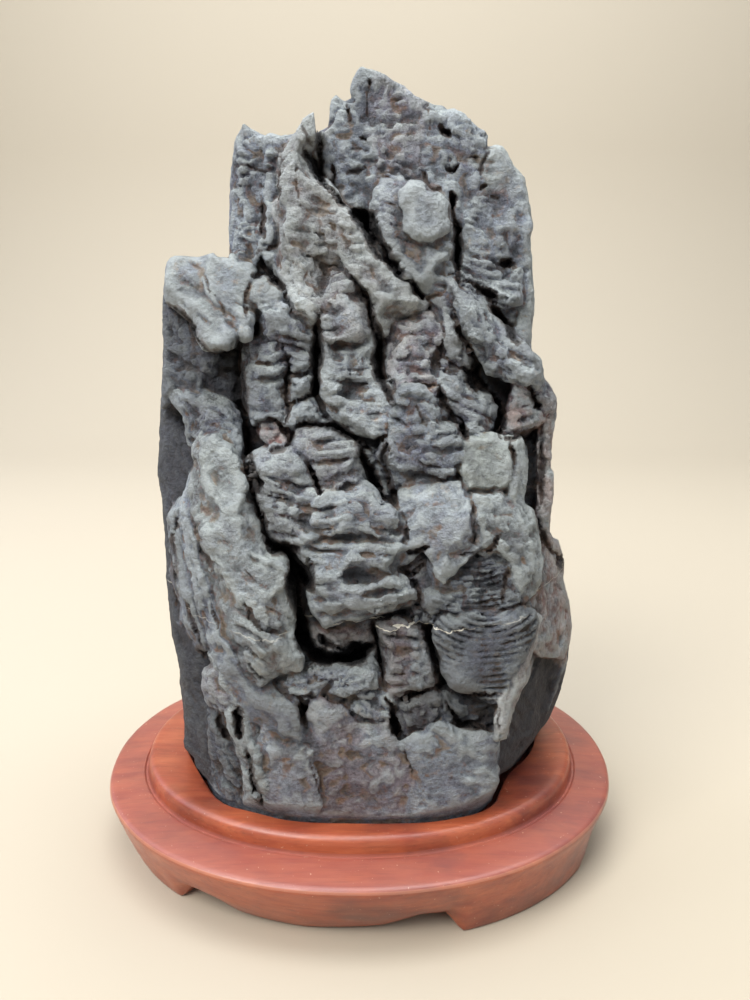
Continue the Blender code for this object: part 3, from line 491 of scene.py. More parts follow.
# painted shade: this strip, turned far from the light, takes a dark share
crag("outerStrip", [
    (182, 640), (190, 640), (203, 680), (208, 720), (213, 775), (220, 830), (204, 800), (192, 750),
    (184, 700)], out=-22, turn=-60, edge=7, drop=4, ledges=(13, 0.8, 70), dark=0.4)


# dark clefts between and in the crags: a path in pixels, its half width in pixels and depth in millimetres
clefts = [
    ([(307, 150), (314, 165), (322, 184), (332, 194), (343, 204), (356, 209)], 3.5, 9),
    ([(352, 206), (364, 216), (371, 232), (374, 246), (384, 260)], 7, 15),
    ([(374, 225), (378, 240), (388, 256), (400, 272), (414, 286), (424, 298)], 4.5, 12),
    ([(316, 118), (318, 140), (321, 160), (323, 182)], 2.2, 6),
    ([(298, 124), (306, 138), (311, 148)], 1.5, 3),
    ([(277, 158), (277, 180), (279, 205), (283, 235), (286, 262)], 1.4, 2.5),
    ([(298, 163), (297, 180), (299, 205)], 1.4, 2),
    ([(262, 198), (265, 222), (264, 240)], 2, 3),
    ([(232, 168), (250, 167), (262, 171), (270, 173)], 1.3, 1.6),
    ([(255, 256), (262, 250), (270, 246), (280, 243)], 2.2, 4),
    ([(262, 258), (268, 270), (275, 284), (284, 295)], 4.5, 9),
    ([(252, 276), (264, 277)], 3, 6),
    ([(250, 282), (246, 300), (249, 320)], 1.6, 3),
    ([(333, 163), (333, 182), (338, 192)], 2.4, 4),
    ([(347, 104), (349, 126)], 1.8, 3),
    ([(369, 76), (368, 120)], 1.8, 3),
    ([(362, 141), (372, 141)], 2.4, 3.5),
    ([(352, 151), (370, 152)], 1.4, 2),
    ([(346, 174), (372, 168)], 1.4, 2),
    ([(424, 172), (428, 183), (440, 190)], 1.8, 3),
    ([(427, 100), (430, 120), (429, 142)], 1.6, 3),
    ([(440, 122), (445, 133), (453, 136)], 3, 5),
    ([(446, 165), (452, 170), (459, 162)], 2.4, 4),
    ([(466, 155), (480, 157)], 2.4, 3),
    ([(488, 150), (484, 162), (480, 175)], 1.6, 3),
    ([(478, 186), (485, 182)], 2.4, 4),
    ([(490, 196), (499, 198)], 2.4, 4),
    ([(450, 196), (455, 225), (457, 250), (458, 275), (462, 288)], 5.5, 15),
    ([(500, 262), (512, 263)], 3.6, 5),
    ([(462, 280), (474, 283), (486, 292), (494, 302)], 3.6, 7),
    ([(488, 304), (497, 312), (503, 320), (513, 332), (520, 344)], 4.4, 7),
    ([(352, 275), (361, 290), (369, 304), (374, 322), (375, 350)], 3.6, 9),
    ([(376, 305), (380, 330), (378, 350), (380, 372), (386, 390), (392, 404)], 5, 8),
    ([(166, 300), (176, 309), (186, 318), (194, 328), (202, 343), (210, 351), (230, 348), (236, 338)], 3, 7),
    ([(204, 275), (213, 292), (222, 303), (230, 318)], 1.5, 2),
    ([(317, 322), (316, 340), (316, 360), (316, 380), (312, 398)], 5, 14),
    ([(285, 346), (287, 372), (288, 404), (290, 424)], 2.4, 6),
    ([(239, 340), (243, 370), (244, 400), (246, 430)], 2.4, 4),
    ([(246, 425), (250, 455), (258, 475), (264, 492)], 3.4, 8),
    ([(288, 372), (300, 374), (310, 370)], 2, 4),
    ([(290, 404), (302, 402), (310, 396)], 2.4, 4.5),
    ([(258, 362), (270, 363)], 1.6, 2.5),
    ([(262, 422), (272, 418), (284, 426), (290, 440)], 2.4, 5),
    ([(297, 428), (305, 424), (318, 426), (336, 430), (350, 437), (362, 447), (374, 454)], 3, 8),
    ([(270, 452), (280, 447), (292, 444), (296, 432)], 2.6, 6),
    ([(243, 450), (250, 470), (256, 490), (260, 510), (267, 530), (276, 545)], 3.2, 8),
    ([(262, 530), (276, 547), (291, 552), (301, 566), (307, 580), (313, 594)], 6, 9),
    ([(289, 560), (294, 585), (296, 605), (297, 630), (302, 652)], 7.5, 14),
    ([(299, 618), (303, 640), (311, 654), (330, 660), (352, 655), (378, 644)], 7, 16),
    ([(318, 634), (330, 646), (346, 650), (360, 640)], 3.6, 8),
    ([(303, 460), (311, 478), (319, 492), (324, 490)], 2.6, 6),
    ([(357, 446), (364, 462), (372, 480), (384, 495), (399, 506)], 4.6, 10),
    ([(380, 436), (387, 444), (382, 456), (384, 470), (390, 484), (398, 494)], 3.4, 8),
    ([(404, 508), (407, 522), (408, 540)], 2.2, 6),
    ([(404, 552), (418, 550), (428, 547)], 2.2, 5),
    ([(398, 572), (411, 573), (427, 564)], 2.4, 5),
    ([(408, 578), (419, 590), (422, 606), (431, 619)], 3.6, 6),
    ([(425, 622), (430, 640), (436, 660), (440, 680), (437, 692)], 4.4, 9),
    ([(373, 622), (379, 640), (383, 660), (386, 677)], 3.6, 9),
    ([(386, 697), (393, 715), (399, 737)], 5, 9),
    ([(397, 701), (412, 695), (430, 688)], 2.4, 5),
    ([(318, 684), (340, 684)], 1.3, 2), ([(296, 700), (318, 697)], 2.4, 4),
    ([(444, 698), (452, 714), (462, 724), (480, 725), (493, 729)], 3.6, 7),
    ([(444, 690), (470, 695), (497, 697)], 2.4, 4),
    ([(456, 325), (467, 340), (475, 356), (478, 372), (487, 392)], 3.6, 8),
    ([(466, 366), (470, 380), (481, 392)], 4.4, 7),
    ([(489, 388), (500, 404), (505, 418), (497, 438)], 4, 7),
    ([(441, 315), (443, 335), (441, 352)], 1.8, 4), ([(451, 290), (453, 304), (457, 322)], 2.2, 5),
    ([(438, 385), (443, 398), (452, 412), (460, 425), (465, 440)], 4.2, 8),
    ([(414, 404), (418, 414), (425, 426)], 2, 3),
    ([(436, 362), (448, 371), (460, 372)], 1.8, 3), ([(394, 440), (408, 448), (420, 450)], 1.8, 2.5),
    ([(530, 384), (533, 400), (539, 410)], 2.4, 4), ([(541, 420), (543, 450), (541, 480), (540, 508)], 3, 5),
    ([(496, 438), (512, 440), (526, 434), (542, 424)], 2.4, 5),
    ([(510, 442), (512, 455), (513, 472)], 1.6, 3),
    ([(533, 500), (539, 528), (552, 548), (561, 560), (564, 577)], 3.4, 6),
    ([(473, 504), (472, 522), (475, 545)], 1.6, 3),
    ([(460, 556), (474, 553), (490, 549), (503, 532)], 1.8, 3.5),
    ([(507, 565), (504, 585), (500, 603)], 2, 3), ([(498, 610), (514, 608), (528, 603)], 2, 4),
    ([(499, 705), (499, 725), (498, 745)], 1.8, 3),
    ([(181, 508), (176, 524), (173, 540), (174, 560), (177, 590), (174, 606)], 2.8, 5),
    ([(190, 506), (196, 530), (202, 548), (210, 562), (214, 576)], 1.8, 3),
    ([(183, 600), (190, 620), (197, 640), (205, 660)], 2, 4),
    ([(206, 590), (214, 612), (222, 632)], 1.6, 2.6),
    ([(243, 602), (248, 618), (258, 630), (276, 634)], 1.7, 2.4),
    ([(243, 568), (250, 580), (262, 590)], 1.4, 1.8),
    ([(234, 704), (239, 716), (241, 738)], 3, 6), ([(214, 712), (222, 726), (230, 742)], 3, 4),
    ([(244, 746), (250, 766), (253, 786), (262, 806)], 2.8, 5),
    ([(250, 658), (256, 672), (266, 680)], 1.8, 2.6),
    ([(273, 682), (286, 694), (297, 706), (305, 720), (308, 738)], 3.4, 4.5),
    ([(312, 752), (313, 768), (317, 786), (321, 802)], 1.4, 2),
    ([(310, 750), (330, 746), (350, 735), (368, 734)], 1.2, 1.2),
    ([(404, 748), (410, 766), (413, 784)], 1.5, 2),
]


# distance to a path, and how far along it the nearest place lies, from 0 to 1
def pathDistance(px, py, path):
    nearest = np.full(px.shape, 1e12, np.float32)
    turn = np.zeros(px.shape, np.float32)
    legs = [math.dist(a, b) for a, b in zip(path[:-1], path[1:])]
    passed = 0.0
    for (ax, ay), (bx, by), leg in zip(path[:-1], path[1:], legs):
        along = np.clip(((px - ax) * (bx - ax) + (py - ay) * (by - ay)) / leg ** 2, 0, 1)
        apart = (px - ax - along * (bx - ax)) ** 2 + (py - ay - along * (by - ay)) ** 2
        turn = np.where(apart < nearest, (passed + along * leg) / sum(legs), turn)
        nearest = np.minimum(nearest, apart)
        passed += leg
    return np.sqrt(nearest), turn


def cleftDepth(px, py, uneven, fine):
    depth = np.zeros(px.shape, np.float32)
    for path, width, deep in clefts:
        if width < 2.1 and not fine:
            continue
        reach = [(min(v) - 1.7 * width, max(v) + 1.7 * width) for v in zip(*path)]
        at = np.nonzero((px > reach[0][0]) & (px < reach[0][1]) & (py > reach[1][0]) & (py < reach[1][1]))
        apart, turn = pathDistance(px[at], py[at], path)
        taper = np.clip(0.2 + 5 * np.minimum(turn, 1 - turn), 0, 1) ** 0.7
        part = np.clip(1 - apart / (width * uneven[at] * taper), 0, 1)
        depth[at] = np.maximum(depth[at], deep * uneven[at] * taper * part ** 0.8)
    return depth


# the stone as a distance to its surface, in millimetres, at any list of points
def stoneField(x, y, z, fine):
    px, py, scale = toPixels(x, y, z)
    lumps = stone["lump"] * latticeNoise(x, y, z * 0.7, 15.0, 3)
    lumps += stone["knobble"] * latticeNoise(x, y, z, 6.5, 4)
    crunch = stone["crunch"] * latticeNoise(x, y, z * 1.3, 2.9, 5)
    # billows: lumps with sharp creases between them
    crunch -= stone["billow"] * np.abs(latticeNoise(x, y, z * 1.2, 5.2, 15)) - 0.5
    crunch -= stone["wideBillow"] * np.abs(latticeNoise(x, y, z * 0.8, 11.0, 17)) - 0.7
    if fine:
        crunch += 0.7 * latticeNoise(x, y, z * 1.2, 1.9, 13)
        flakeShift = 2.5 * latticeNoise(x, y, z * 1.5, 8.0, 25) + 1.0 * latticeNoise(x, y, z, 3.0, 26)
        flakeShare = np.clip(0.7 + 1.2 * latticeNoise(x, y, z, 14.0, 27), 0.15, 1)
    # outlines wander a little, and ledges wave
    large, small = stone["wanderPx"], stone["smallWanderPx"]
    wanderX = large * latticeNoise(x, y * 0.3, z, 9.0, 6) + small * latticeNoise(x, y * 0.3, z, 3.8, 7)
    wanderY = large * latticeNoise(x, y * 0.3, z, 9.0, 8) + small * latticeNoise(x, y * 0.3, z, 3.8, 9)
    if fine:
        wanderX += stone["fineWanderPx"] * latticeNoise(x, y, z, 1.8, 23)
        wanderY += stone["fineWanderPx"] * latticeNoise(x, y, z, 1.8, 24)
    bevel = np.clip(1.1 + 1.3 * latticeNoise(x, y * 0.4, z, 10.0, 21), 0.4, 2.2)
    wave = 7.0 * latticeNoise(x, y * 0.4, z, 13.0, 10) + 2.5 * latticeNoise(x, y, z, 5.0, 11)
    strength = 0.7 + 1.5 * latticeNoise(x, y, z, 12.0, 12) + 0.7 * latticeNoise(x, y, z, 5.0, 14)
    strength = np.clip(strength, 0.1, 1.9)
    ax, ay = px + wanderX, py + wanderY
    uneven = np.clip(0.95 + 0.9 * latticeNoise(x, y * 0.3, z, 7.0, 16), 0.3, 1.6)
    cleft = cleftDepth(px + 0.9 * wanderX, py + 0.9 * wanderY, uneven, fine)
    face = np.interp(py, stone["faceHeightPx"], stone["faceFront"]).astype(np.float32) + cleft
    edge = outlineDistance(px, py, silhouette) * scale
    field = np.full(x.shape, 20.0, np.float32)
    tintsAndShade = {name: np.zeros(x.shape, np.float32) for name in ("warm", "green", "pale", "dark", "smooth")}

    swelling = latticeNoise(x, y * 0.4, z * 0.35, 24.0, 20)
    chasms = 3.0 * swelling + stone["backClefts"] * (1 - np.clip(np.abs(swelling - 0.1) * 6, 0, 1))
    ribs = stone["ribDepth"] * np.abs(np.sin(np.pi * (z + wave) / stone["ribMm"])) ** 0.6
    sideways = 0.0009 * (px - 360) ** 2 * np.clip((py - 230) / 250, 0, 1)
    for mass in masses.values():
        cone = outlineDistance(px, py, mass["outline"]) * scale
        plane = outlineDistance(x, z, [onPlane(p) for p in mass["outline"]])
        swell = mass["back"] * quarterRound(plane, mass["roundness"])
        sides = np.where(y < 0, -cone, -np.minimum(cone, plane))
        front = face + stone["coreSetback"] + sideways - y + 1.3 * lumps + crunch
        back = (y - swell + chasms + lumps - ribs) * 0.8
        field = np.minimum(field, np.maximum(sides + 0.5 * crunch, smoothMax(front, back, 2.0)))

    grow = stone["growPx"]
    behind = 1 + stone["slabDepth"] * quarterRound(edge, stone["slabReach"]) + 2.5 * lumps + crunch
    nearest = np.full(x.shape, 1e3, np.float32)
    for c in crags:
        reach = [(min(v) - 12, max(v) + 12) for v in zip(*c["outline"])]
        near = (px > reach[0][0]) & (px < reach[0][1]) & (py > reach[1][0]) & (py < reach[1][1]) & (y < 20)
        at = np.nonzero(near)
        size = scale[at]
        inside = outlineDistance(ax[at], ay[at], c["outline"]) + grow
        middleX, middleY = (sum(v) / len(c["outline"]) for v in zip(*c["outline"]))
        front = face[at] - c["out"] + (px[at] - middleX) * size * math.tan(math.radians(c["turn"]))
        front += (middleY - py[at]) * size * math.tan(math.radians(c["lean"]))
        border = 0.9 * c["drop"] * (1 - np.clip(inside / (c["edge"] * bevel[at]), 0, 1))
        front += border + 0.7 * lumps[at] + c["rough"] * crunch[at]
        pitch, depth, tilt = c["ledges"]
        if pitch:
            slope = math.radians(tilt)
            bow = 6 * ((px[at] - middleX) / (reach[0][1] - middleX)) ** 2
            rise = py[at] * math.cos(slope) - px[at] * math.sin(slope) + wave[at] + bow
            if c["arc"]:
                rise = np.hypot(px[at] - c["arc"][0], 1.3 * (py[at] - c["arc"][1])) + 0.3 * wave[at]
            front += ledge(rise / pitch) * depth * 1.5 * strength[at]
            if fine:
                front += ledge(rise / pitch * 2.6 + 0.3) * depth * 0.5 * strength[at]
        if fine:
            layer = (front + flakeShift[at]) / stone["flake"]
            step = np.floor(layer) + np.clip((layer - np.floor(layer) - 0.5) * 3.5 + 0.5, 0, 1)
            front += (step - layer) * stone["flake"] * flakeShare[at] * c["rough"]
        solid = smoothMax(-inside * size, front - y[at], stone["cragBlend"])
        solid = smoothMax(solid, y[at] - np.maximum(behind[at], front + stone["thinnestCrag"]), 2.0)
        nearer = solid < nearest[at]
        nearest[at] = np.where(nearer, solid, nearest[at])
        for name, tint in tintsAndShade.items():
            tint[at] = np.where(nearer, c[name], tint[at])
        field[at] = smoothMin(field[at], solid, 0.5)

    fading = np.clip(1.6 - nearest / 4, 0, 1)
    tintsAndShade = {name: tint * fading for name, tint in tintsAndShade.items()}
    # the foot keeps inside the same eased outline as the stand's pocket
    plan = np.full(x.shape, -100, np.float32)
    low = np.nonzero(z < 100)
    plan[low] = outlineDistance(x[low], y[low], easedOutline(stone["foot"]))
    rising = np.maximum(z - stone["plugTop"] + 3, 0)
    plug = -plan + 0.6 + 0.4 * lumps + (0.3 + 0.006 * rising) * rising + np.clip(rising / 2, 0, 1) * crunch
    field = smoothMin(field, np.maximum(plug, z - 95), stone["footBlend"])
    field = np.where(rising < 40, np.maximum(field, -plan + 0.1 - 0.6 * rising), field)
    field = smoothMax(field, -edge + 0.3 * crunch, 2.0)
    # the clefts' depth goes with the tints and sets the painted shade deep in them
    tintsAndShade["cleft"] = cleft
    return np.maximum(field, stone["base"] - z), tintsAndShade


# a bed stands out most at its lower lip, and a narrow groove parts it from the next one
def ledge(turns):
    groove = 1 - np.abs(np.sin(np.pi * turns)) ** 0.6
    return groove - 0.55 * (turns - np.floor(turns) - 0.5)


# corners that touch only across a diagonal would pinch the surface, so they are filled in
def fillPinches(field):
    for _ in range(stone["pinchPasses"]):
        changed = 0
        for first, second in ((0, 1), (1, 2), (0, 2)):
            corners = {}
            for i, j in np.ndindex(2, 2):
                cut = [slice(None)] * 3
                cut[first] = slice(i, field.shape[first] - 1 + i)
                cut[second] = slice(j, field.shape[second] - 1 + j)
                corners[i, j] = field[tuple(cut)]
            for solids, opens in ((((0, 0), (1, 1)), ((0, 1), (1, 0))), (((0, 1), (1, 0)), ((0, 0), (1, 1)))):
                pinched = [corners[at] < 0 for at in solids] + [corners[at] >= 0 for at in opens]
                pinched = np.all(pinched, axis=0)
                changed += int(pinched.sum())
                corners[opens[0]][pinched] = -0.02
        if not changed:
            break
    return field


# one vertex in each cell that the surface crosses, one quad across each crossed grid edge
def surfaceNets(field, axes):
    inside = field < 0
    count = np.zeros([n - 1 for n in field.shape], np.int8)
    corners = list(np.ndindex(2, 2, 2))
    for i, j, k in corners:
        count += inside[i:field.shape[0] - 1 + i, j:field.shape[1] - 1 + j, k:field.shape[2] - 1 + k]
    cells = np.argwhere((count > 0) & (count < 8))
    number = np.full(count.shape, -1, np.int64)
    number[tuple(cells.T)] = np.arange(len(cells))
    values = np.stack([field[tuple((cells + c).T)] for c in corners], axis=1)
    place = np.zeros((len(cells), 3))
    crossings = np.zeros(len(cells))
    for a, first in enumerate(corners):
        for b, second in enumerate(corners):
            if b <= a or sum(abs(p - q) for p, q in zip(first, second)) != 1:
                continue
            crossed = (values[:, a] < 0) != (values[:, b] < 0)
            gap = np.where(crossed, values[:, a] - values[:, b], 1.0)
            part = np.clip(values[:, a] / gap, 0.05, 0.95)
            point = np.asarray(first) + part[:, None] * (np.asarray(second) - np.asarray(first))
            place += np.where(crossed[:, None], point, 0)
            crossings += crossed
    place = cells + place / crossings[:, None]
    vertices = np.array([axis[0] for axis in axes]) + place * (axes[0][1] - axes[0][0])
    quads = []
    for axis in range(3):
        lower, upper = [slice(1, -1)] * 3, [slice(1, -1)] * 3
        lower[axis], upper[axis] = slice(0, -1), slice(1, None)
        starts, ends = inside[tuple(lower)], inside[tuple(upper)]
        shift = np.array([0 if n == axis else 1 for n in range(3)])
        sideU, sideV = (np.eye(3, dtype=int)[(axis + n) % 3] for n in (1, 2))
        for crossed, order in ((starts & ~ends, (0, 1, 2, 3)), (~starts & ends, (3, 2, 1, 0))):
            at = np.argwhere(crossed) + shift
            ring = [at, at - sideU, at - sideU - sideV, at - sideV]
            quads.append(np.stack([number[tuple(ring[n].T)] for n in order], axis=1))
    return vertices, np.concatenate(quads)


# only the largest connected surface: loose chips and closed bubbles go
def largestSurface(vertices, quads):
    label = np.arange(len(vertices))
    while True:
        lowest = label[quads].min(axis=1)
        new = label.copy()
        for corner in range(4):
            np.minimum.at(new, quads[:, corner], lowest)
        new = new[new]
        if np.array_equal(new, label):
            break
        label = new
    kept = quads[label[quads[:, 0]] == np.bincount(label[quads[:, 0]]).argmax()]
    used = np.unique(kept)
    renumber = np.zeros(len(vertices), np.int64)
    renumber[used] = np.arange(len(used))
    return vertices[used], renumber[kept]


def boxBlur(values, radius):
    width = 2 * radius + 1
    for axis in range(3):
        padded = np.pad(values, [(radius + 1, radius) if n == axis else (0, 0) for n in range(3)], "edge")
        total = np.cumsum(padded, axis=axis, dtype=np.float64)
        high = [slice(None)] * 3
        low = [slice(None)] * 3
        high[axis], low[axis] = slice(width, None), slice(0, -width)
        values = ((total[tuple(high)] - total[tuple(low)]) / width).astype(np.float32)
    return values


# the grid's value at each point, between its eight neighbours
def readGrid(values, axes, points):
    step = axes[0][1] - axes[0][0]
    place = (points - np.array([a[0] for a in axes])) / step
    cell = np.clip(np.floor(place).astype(int), 0, np.array(values.shape) - 2)
    part = place - cell
    total = 0
    for corner in np.ndindex(2, 2, 2):
        weight = np.prod(np.where(corner, part, 1 - part), axis=1)
        total = total + weight * values[tuple((cell + corner).T)]
    return total


def setAttribute(mesh, name, values):
    attribute = mesh.attributes.new(name, "FLOAT", "POINT")
    attribute.data.foreach_set("value", np.asarray(values, np.float32))


def flattened(made):
    graph = bpy.context.evaluated_depsgraph_get()
    mesh = bpy.data.meshes.new_from_object(made.evaluated_get(graph), depsgraph=graph)
    old = made.data
    made.modifiers.clear()
    made.data = mesh
    mesh.name = made.name
    if old.users == 0:
        bpy.data.meshes.remove(old)
    return made


def meshObject(name, vertices, faces):
    mesh = bpy.data.meshes.new(name)
    mesh.from_pydata((np.asarray(vertices) * mm).tolist(), [], np.asarray(faces).tolist())
    made = bpy.data.objects.new(name, mesh)
    bpy.context.scene.collection.objects.link(made)
    return made


def meshPoints(mesh):
    points = np.zeros(len(mesh.vertices) * 3, np.float32)
    mesh.vertices.foreach_get("co", points)
    return points.reshape(-1, 3) / mm


def meshNormals(mesh):
    normals = np.zeros(len(mesh.vertices) * 3, np.float32)
    mesh.vertex_normals.foreach_get("vector", normals)
    return normals.reshape(-1, 3)


def makeStone():
    step = stone["step"]
    axes = [np.arange(low, high + step, step) for low, high in stone["box"]]
    grid = [a.astype(np.float32).ravel() for a in np.meshgrid(*axes, indexing="ij")]
    field, _ = stoneField(*grid, False)
    field = fillPinches(field.reshape([len(a) for a in axes]))
    print("stone: field on", field.shape)
    vertices, quads = largestSurface(*surfaceNets(field, axes))
    made = meshObject("suisekiStone", vertices, quads)
    made.modifiers.new("finer", "SUBSURF").levels = 1
    flattened(made)
    # each vertex is drawn on to the finely detailed surface
    for _ in range(stone["drawPasses"]):
        points = meshPoints(made.data)
        off, _ = stoneField(*points.T, True)
        points -= meshNormals(made.data) * np.clip(0.7 * off, -1.0, 1.0)[:, None]
        points[:, 2] = np.maximum(points[:, 2], stone["base"])
        made.data.vertices.foreach_set("co", (points * mm).ravel())
        made.data.update()
    full = len(made.data.polygons)
    fewer = made.modifiers.new("fewer faces", "DECIMATE")
    fewer.ratio, fewer.use_collapse_triangulate = min(1.0, stone["triangles"] / (2 * full)), True
    flattened(made)
    mesh = made.data
    mesh.shade_smooth()
    points = meshPoints(mesh)
    # from the blurred field: how far each vertex stands on a crest, for pale ridges that are partly painted
    # highlight, and how deep it lies in a hollow, for painted shade
    clipped = np.clip(field, -6, 6)
    near = readGrid(boxBlur(clipped, 2), axes, points)
    far = readGrid(boxBlur(clipped, 6), axes, points)
    setAttribute(mesh, "crest", np.clip(near / 0.7, -1, 1))
    setAttribute(mesh, "hollowShade", np.clip(-far / 3.0, 0, 1))
    _, tintsAndShade = stoneField(*points.T, True)
    for name, values in tintsAndShade.items():
        setAttribute(mesh, name, values)
    print("stone:", full, "quads, kept", len(mesh.polygons), "faces")
    return made


# nodes: one helper adds a node with its settings and its links or values
def addNode(tree, kind, inputs=None, out=0, **settings):
    made = tree.nodes.new(kind if "Node" in kind else "ShaderNode" + kind)
    for name, value in settings.items():
        setattr(made, name, value)
    for key, value in (inputs or {}).items():
        if isinstance(value, bpy.types.NodeSocket):
            tree.links.new(value, made.inputs[key])
        else:
            made.inputs[key].default_value = linear(value) if isinstance(value, str) else value
    return made.outputs if out is None else made.outputs[out]


def linear(code):
    parts = [int(code[n:n + 2], 16) / 255 for n in (1, 3, 5)]
    return (*[p / 12.92 if p <= 0.04045 else ((p + 0.055) / 1.055) ** 2.4 for p in parts], 1.0)


def newMaterial(name):
    material = bpy.data.materials.new(name)
    material.use_nodes = True
    return material, material.node_tree, material.node_tree.nodes["Principled BSDF"]


# the stand: sizes in millimetres, feet as start and end angles round the oval in degrees and their flare
stand = dict(
    halfLength=108.0, halfDepth=83.0, squareness=2.1, around=360, stepsPerRow=2,
    feet=((-70, -30, 1), (30, 70, 1), (131, 157, 0.4), (-157, -131, 0.4)), notch=7.0, notchHeight=6.0,
    apronRise=3.0, apronGap=1.0, footFlare=5.0, carving=0.6, pocketFloor=26.0, pocketGap=1.0, lipLevel=33.4,
    lipFlare=0.8, sharpAngle=38,
)

# the moulding, as (inset from the rim, height, share of the lower edge's rise, share of the foot's flare)
moulding = [
    (83, 8, 0, 0), (27, 8, 0, 0), (21, 7.6, 0, 0), (19.2, 0.6, 1, 0), (18.6, 0, 1, 0), (11, 0, 1, 1),
    (10.3, 0.2, 1, 1), (9.9, 0.9, 1, 1), (8.2, 4.0, 0.75, 0.8), (6.0, 8.5, 0.35, 0.55), (4.0, 13.0, 0.1, 0.3),
    (2.3, 17.5, 0, 0.1), (1.0, 21.0, 0, 0), (0.4, 23.0, 0, 0), (0.05, 24.4, 0, 0), (0.05, 25.2, 0, 0),
    (0.5, 26.0, 0, 0), (1.4, 26.5, 0, 0), (3.0, 26.8, 0, 0), (8.0, 27.4, 0, 0), (13.2, 28.0, 0, 0),
    (14.2, 27.9, 0, 0), (14.8, 27.3, 0, 0), (15.4, 27.3, 0, 0), (15.8, 28.0, 0, 0), (16.0, 30.0, 0, 0),
    (16.3, 32.0, 0, 0), (17.0, 33.4, 0, 0), (18.2, 34.1, 0, 0), (19.6, 34.3, 0, 0), (23, 34.1, 0, 0),
    (30, 33.7, 0, 0), (50, 33.4, 0, 0), (83, 33.3, 0, 0),
]


# the lower edge round the oval, as (degrees, height over the table, flare of the foot)
def lowerEdge():
    points = []
    for start, end, flare in stand["feet"]:
        for side, away in ((start, -1), (end, 1)):
            points += [(side, 0, flare), (side + 0.8 * away, stand["notchHeight"], 0.2 * flare)]
            points += [(side + stand["notch"] * away, stand["notchHeight"], 0)]
            points += [(side + (stand["notch"] + 8) * away, stand["apronGap"] + stand["apronRise"] * 0.5, 0)]
    points += [(-100.5, stand["apronGap"], 0), (100.5, stand["apronGap"], 0), (0, stand["apronGap"], 0)]
    points += [(-180, stand["apronGap"], 0), (180, stand["apronGap"], 0)]
    return sorted(points)


def shapeCurve(node, points, lowest, highest, handle="VECTOR"):
    curve = node.mapping.curves[0]
    while len(curve.points) > 2:
        curve.points.remove(curve.points[1])
    for n, (across, value) in enumerate(points):
        place = (across, (value - lowest) / (highest - lowest))
        if n in (0, len(points) - 1):
            end = curve.points[0] if n == 0 else curve.points[len(curve.points) - 1]
            end.location = place
        else:
            curve.points.new(*place)
    for point in curve.points:
        point.handle_type = handle
    node.mapping.update()


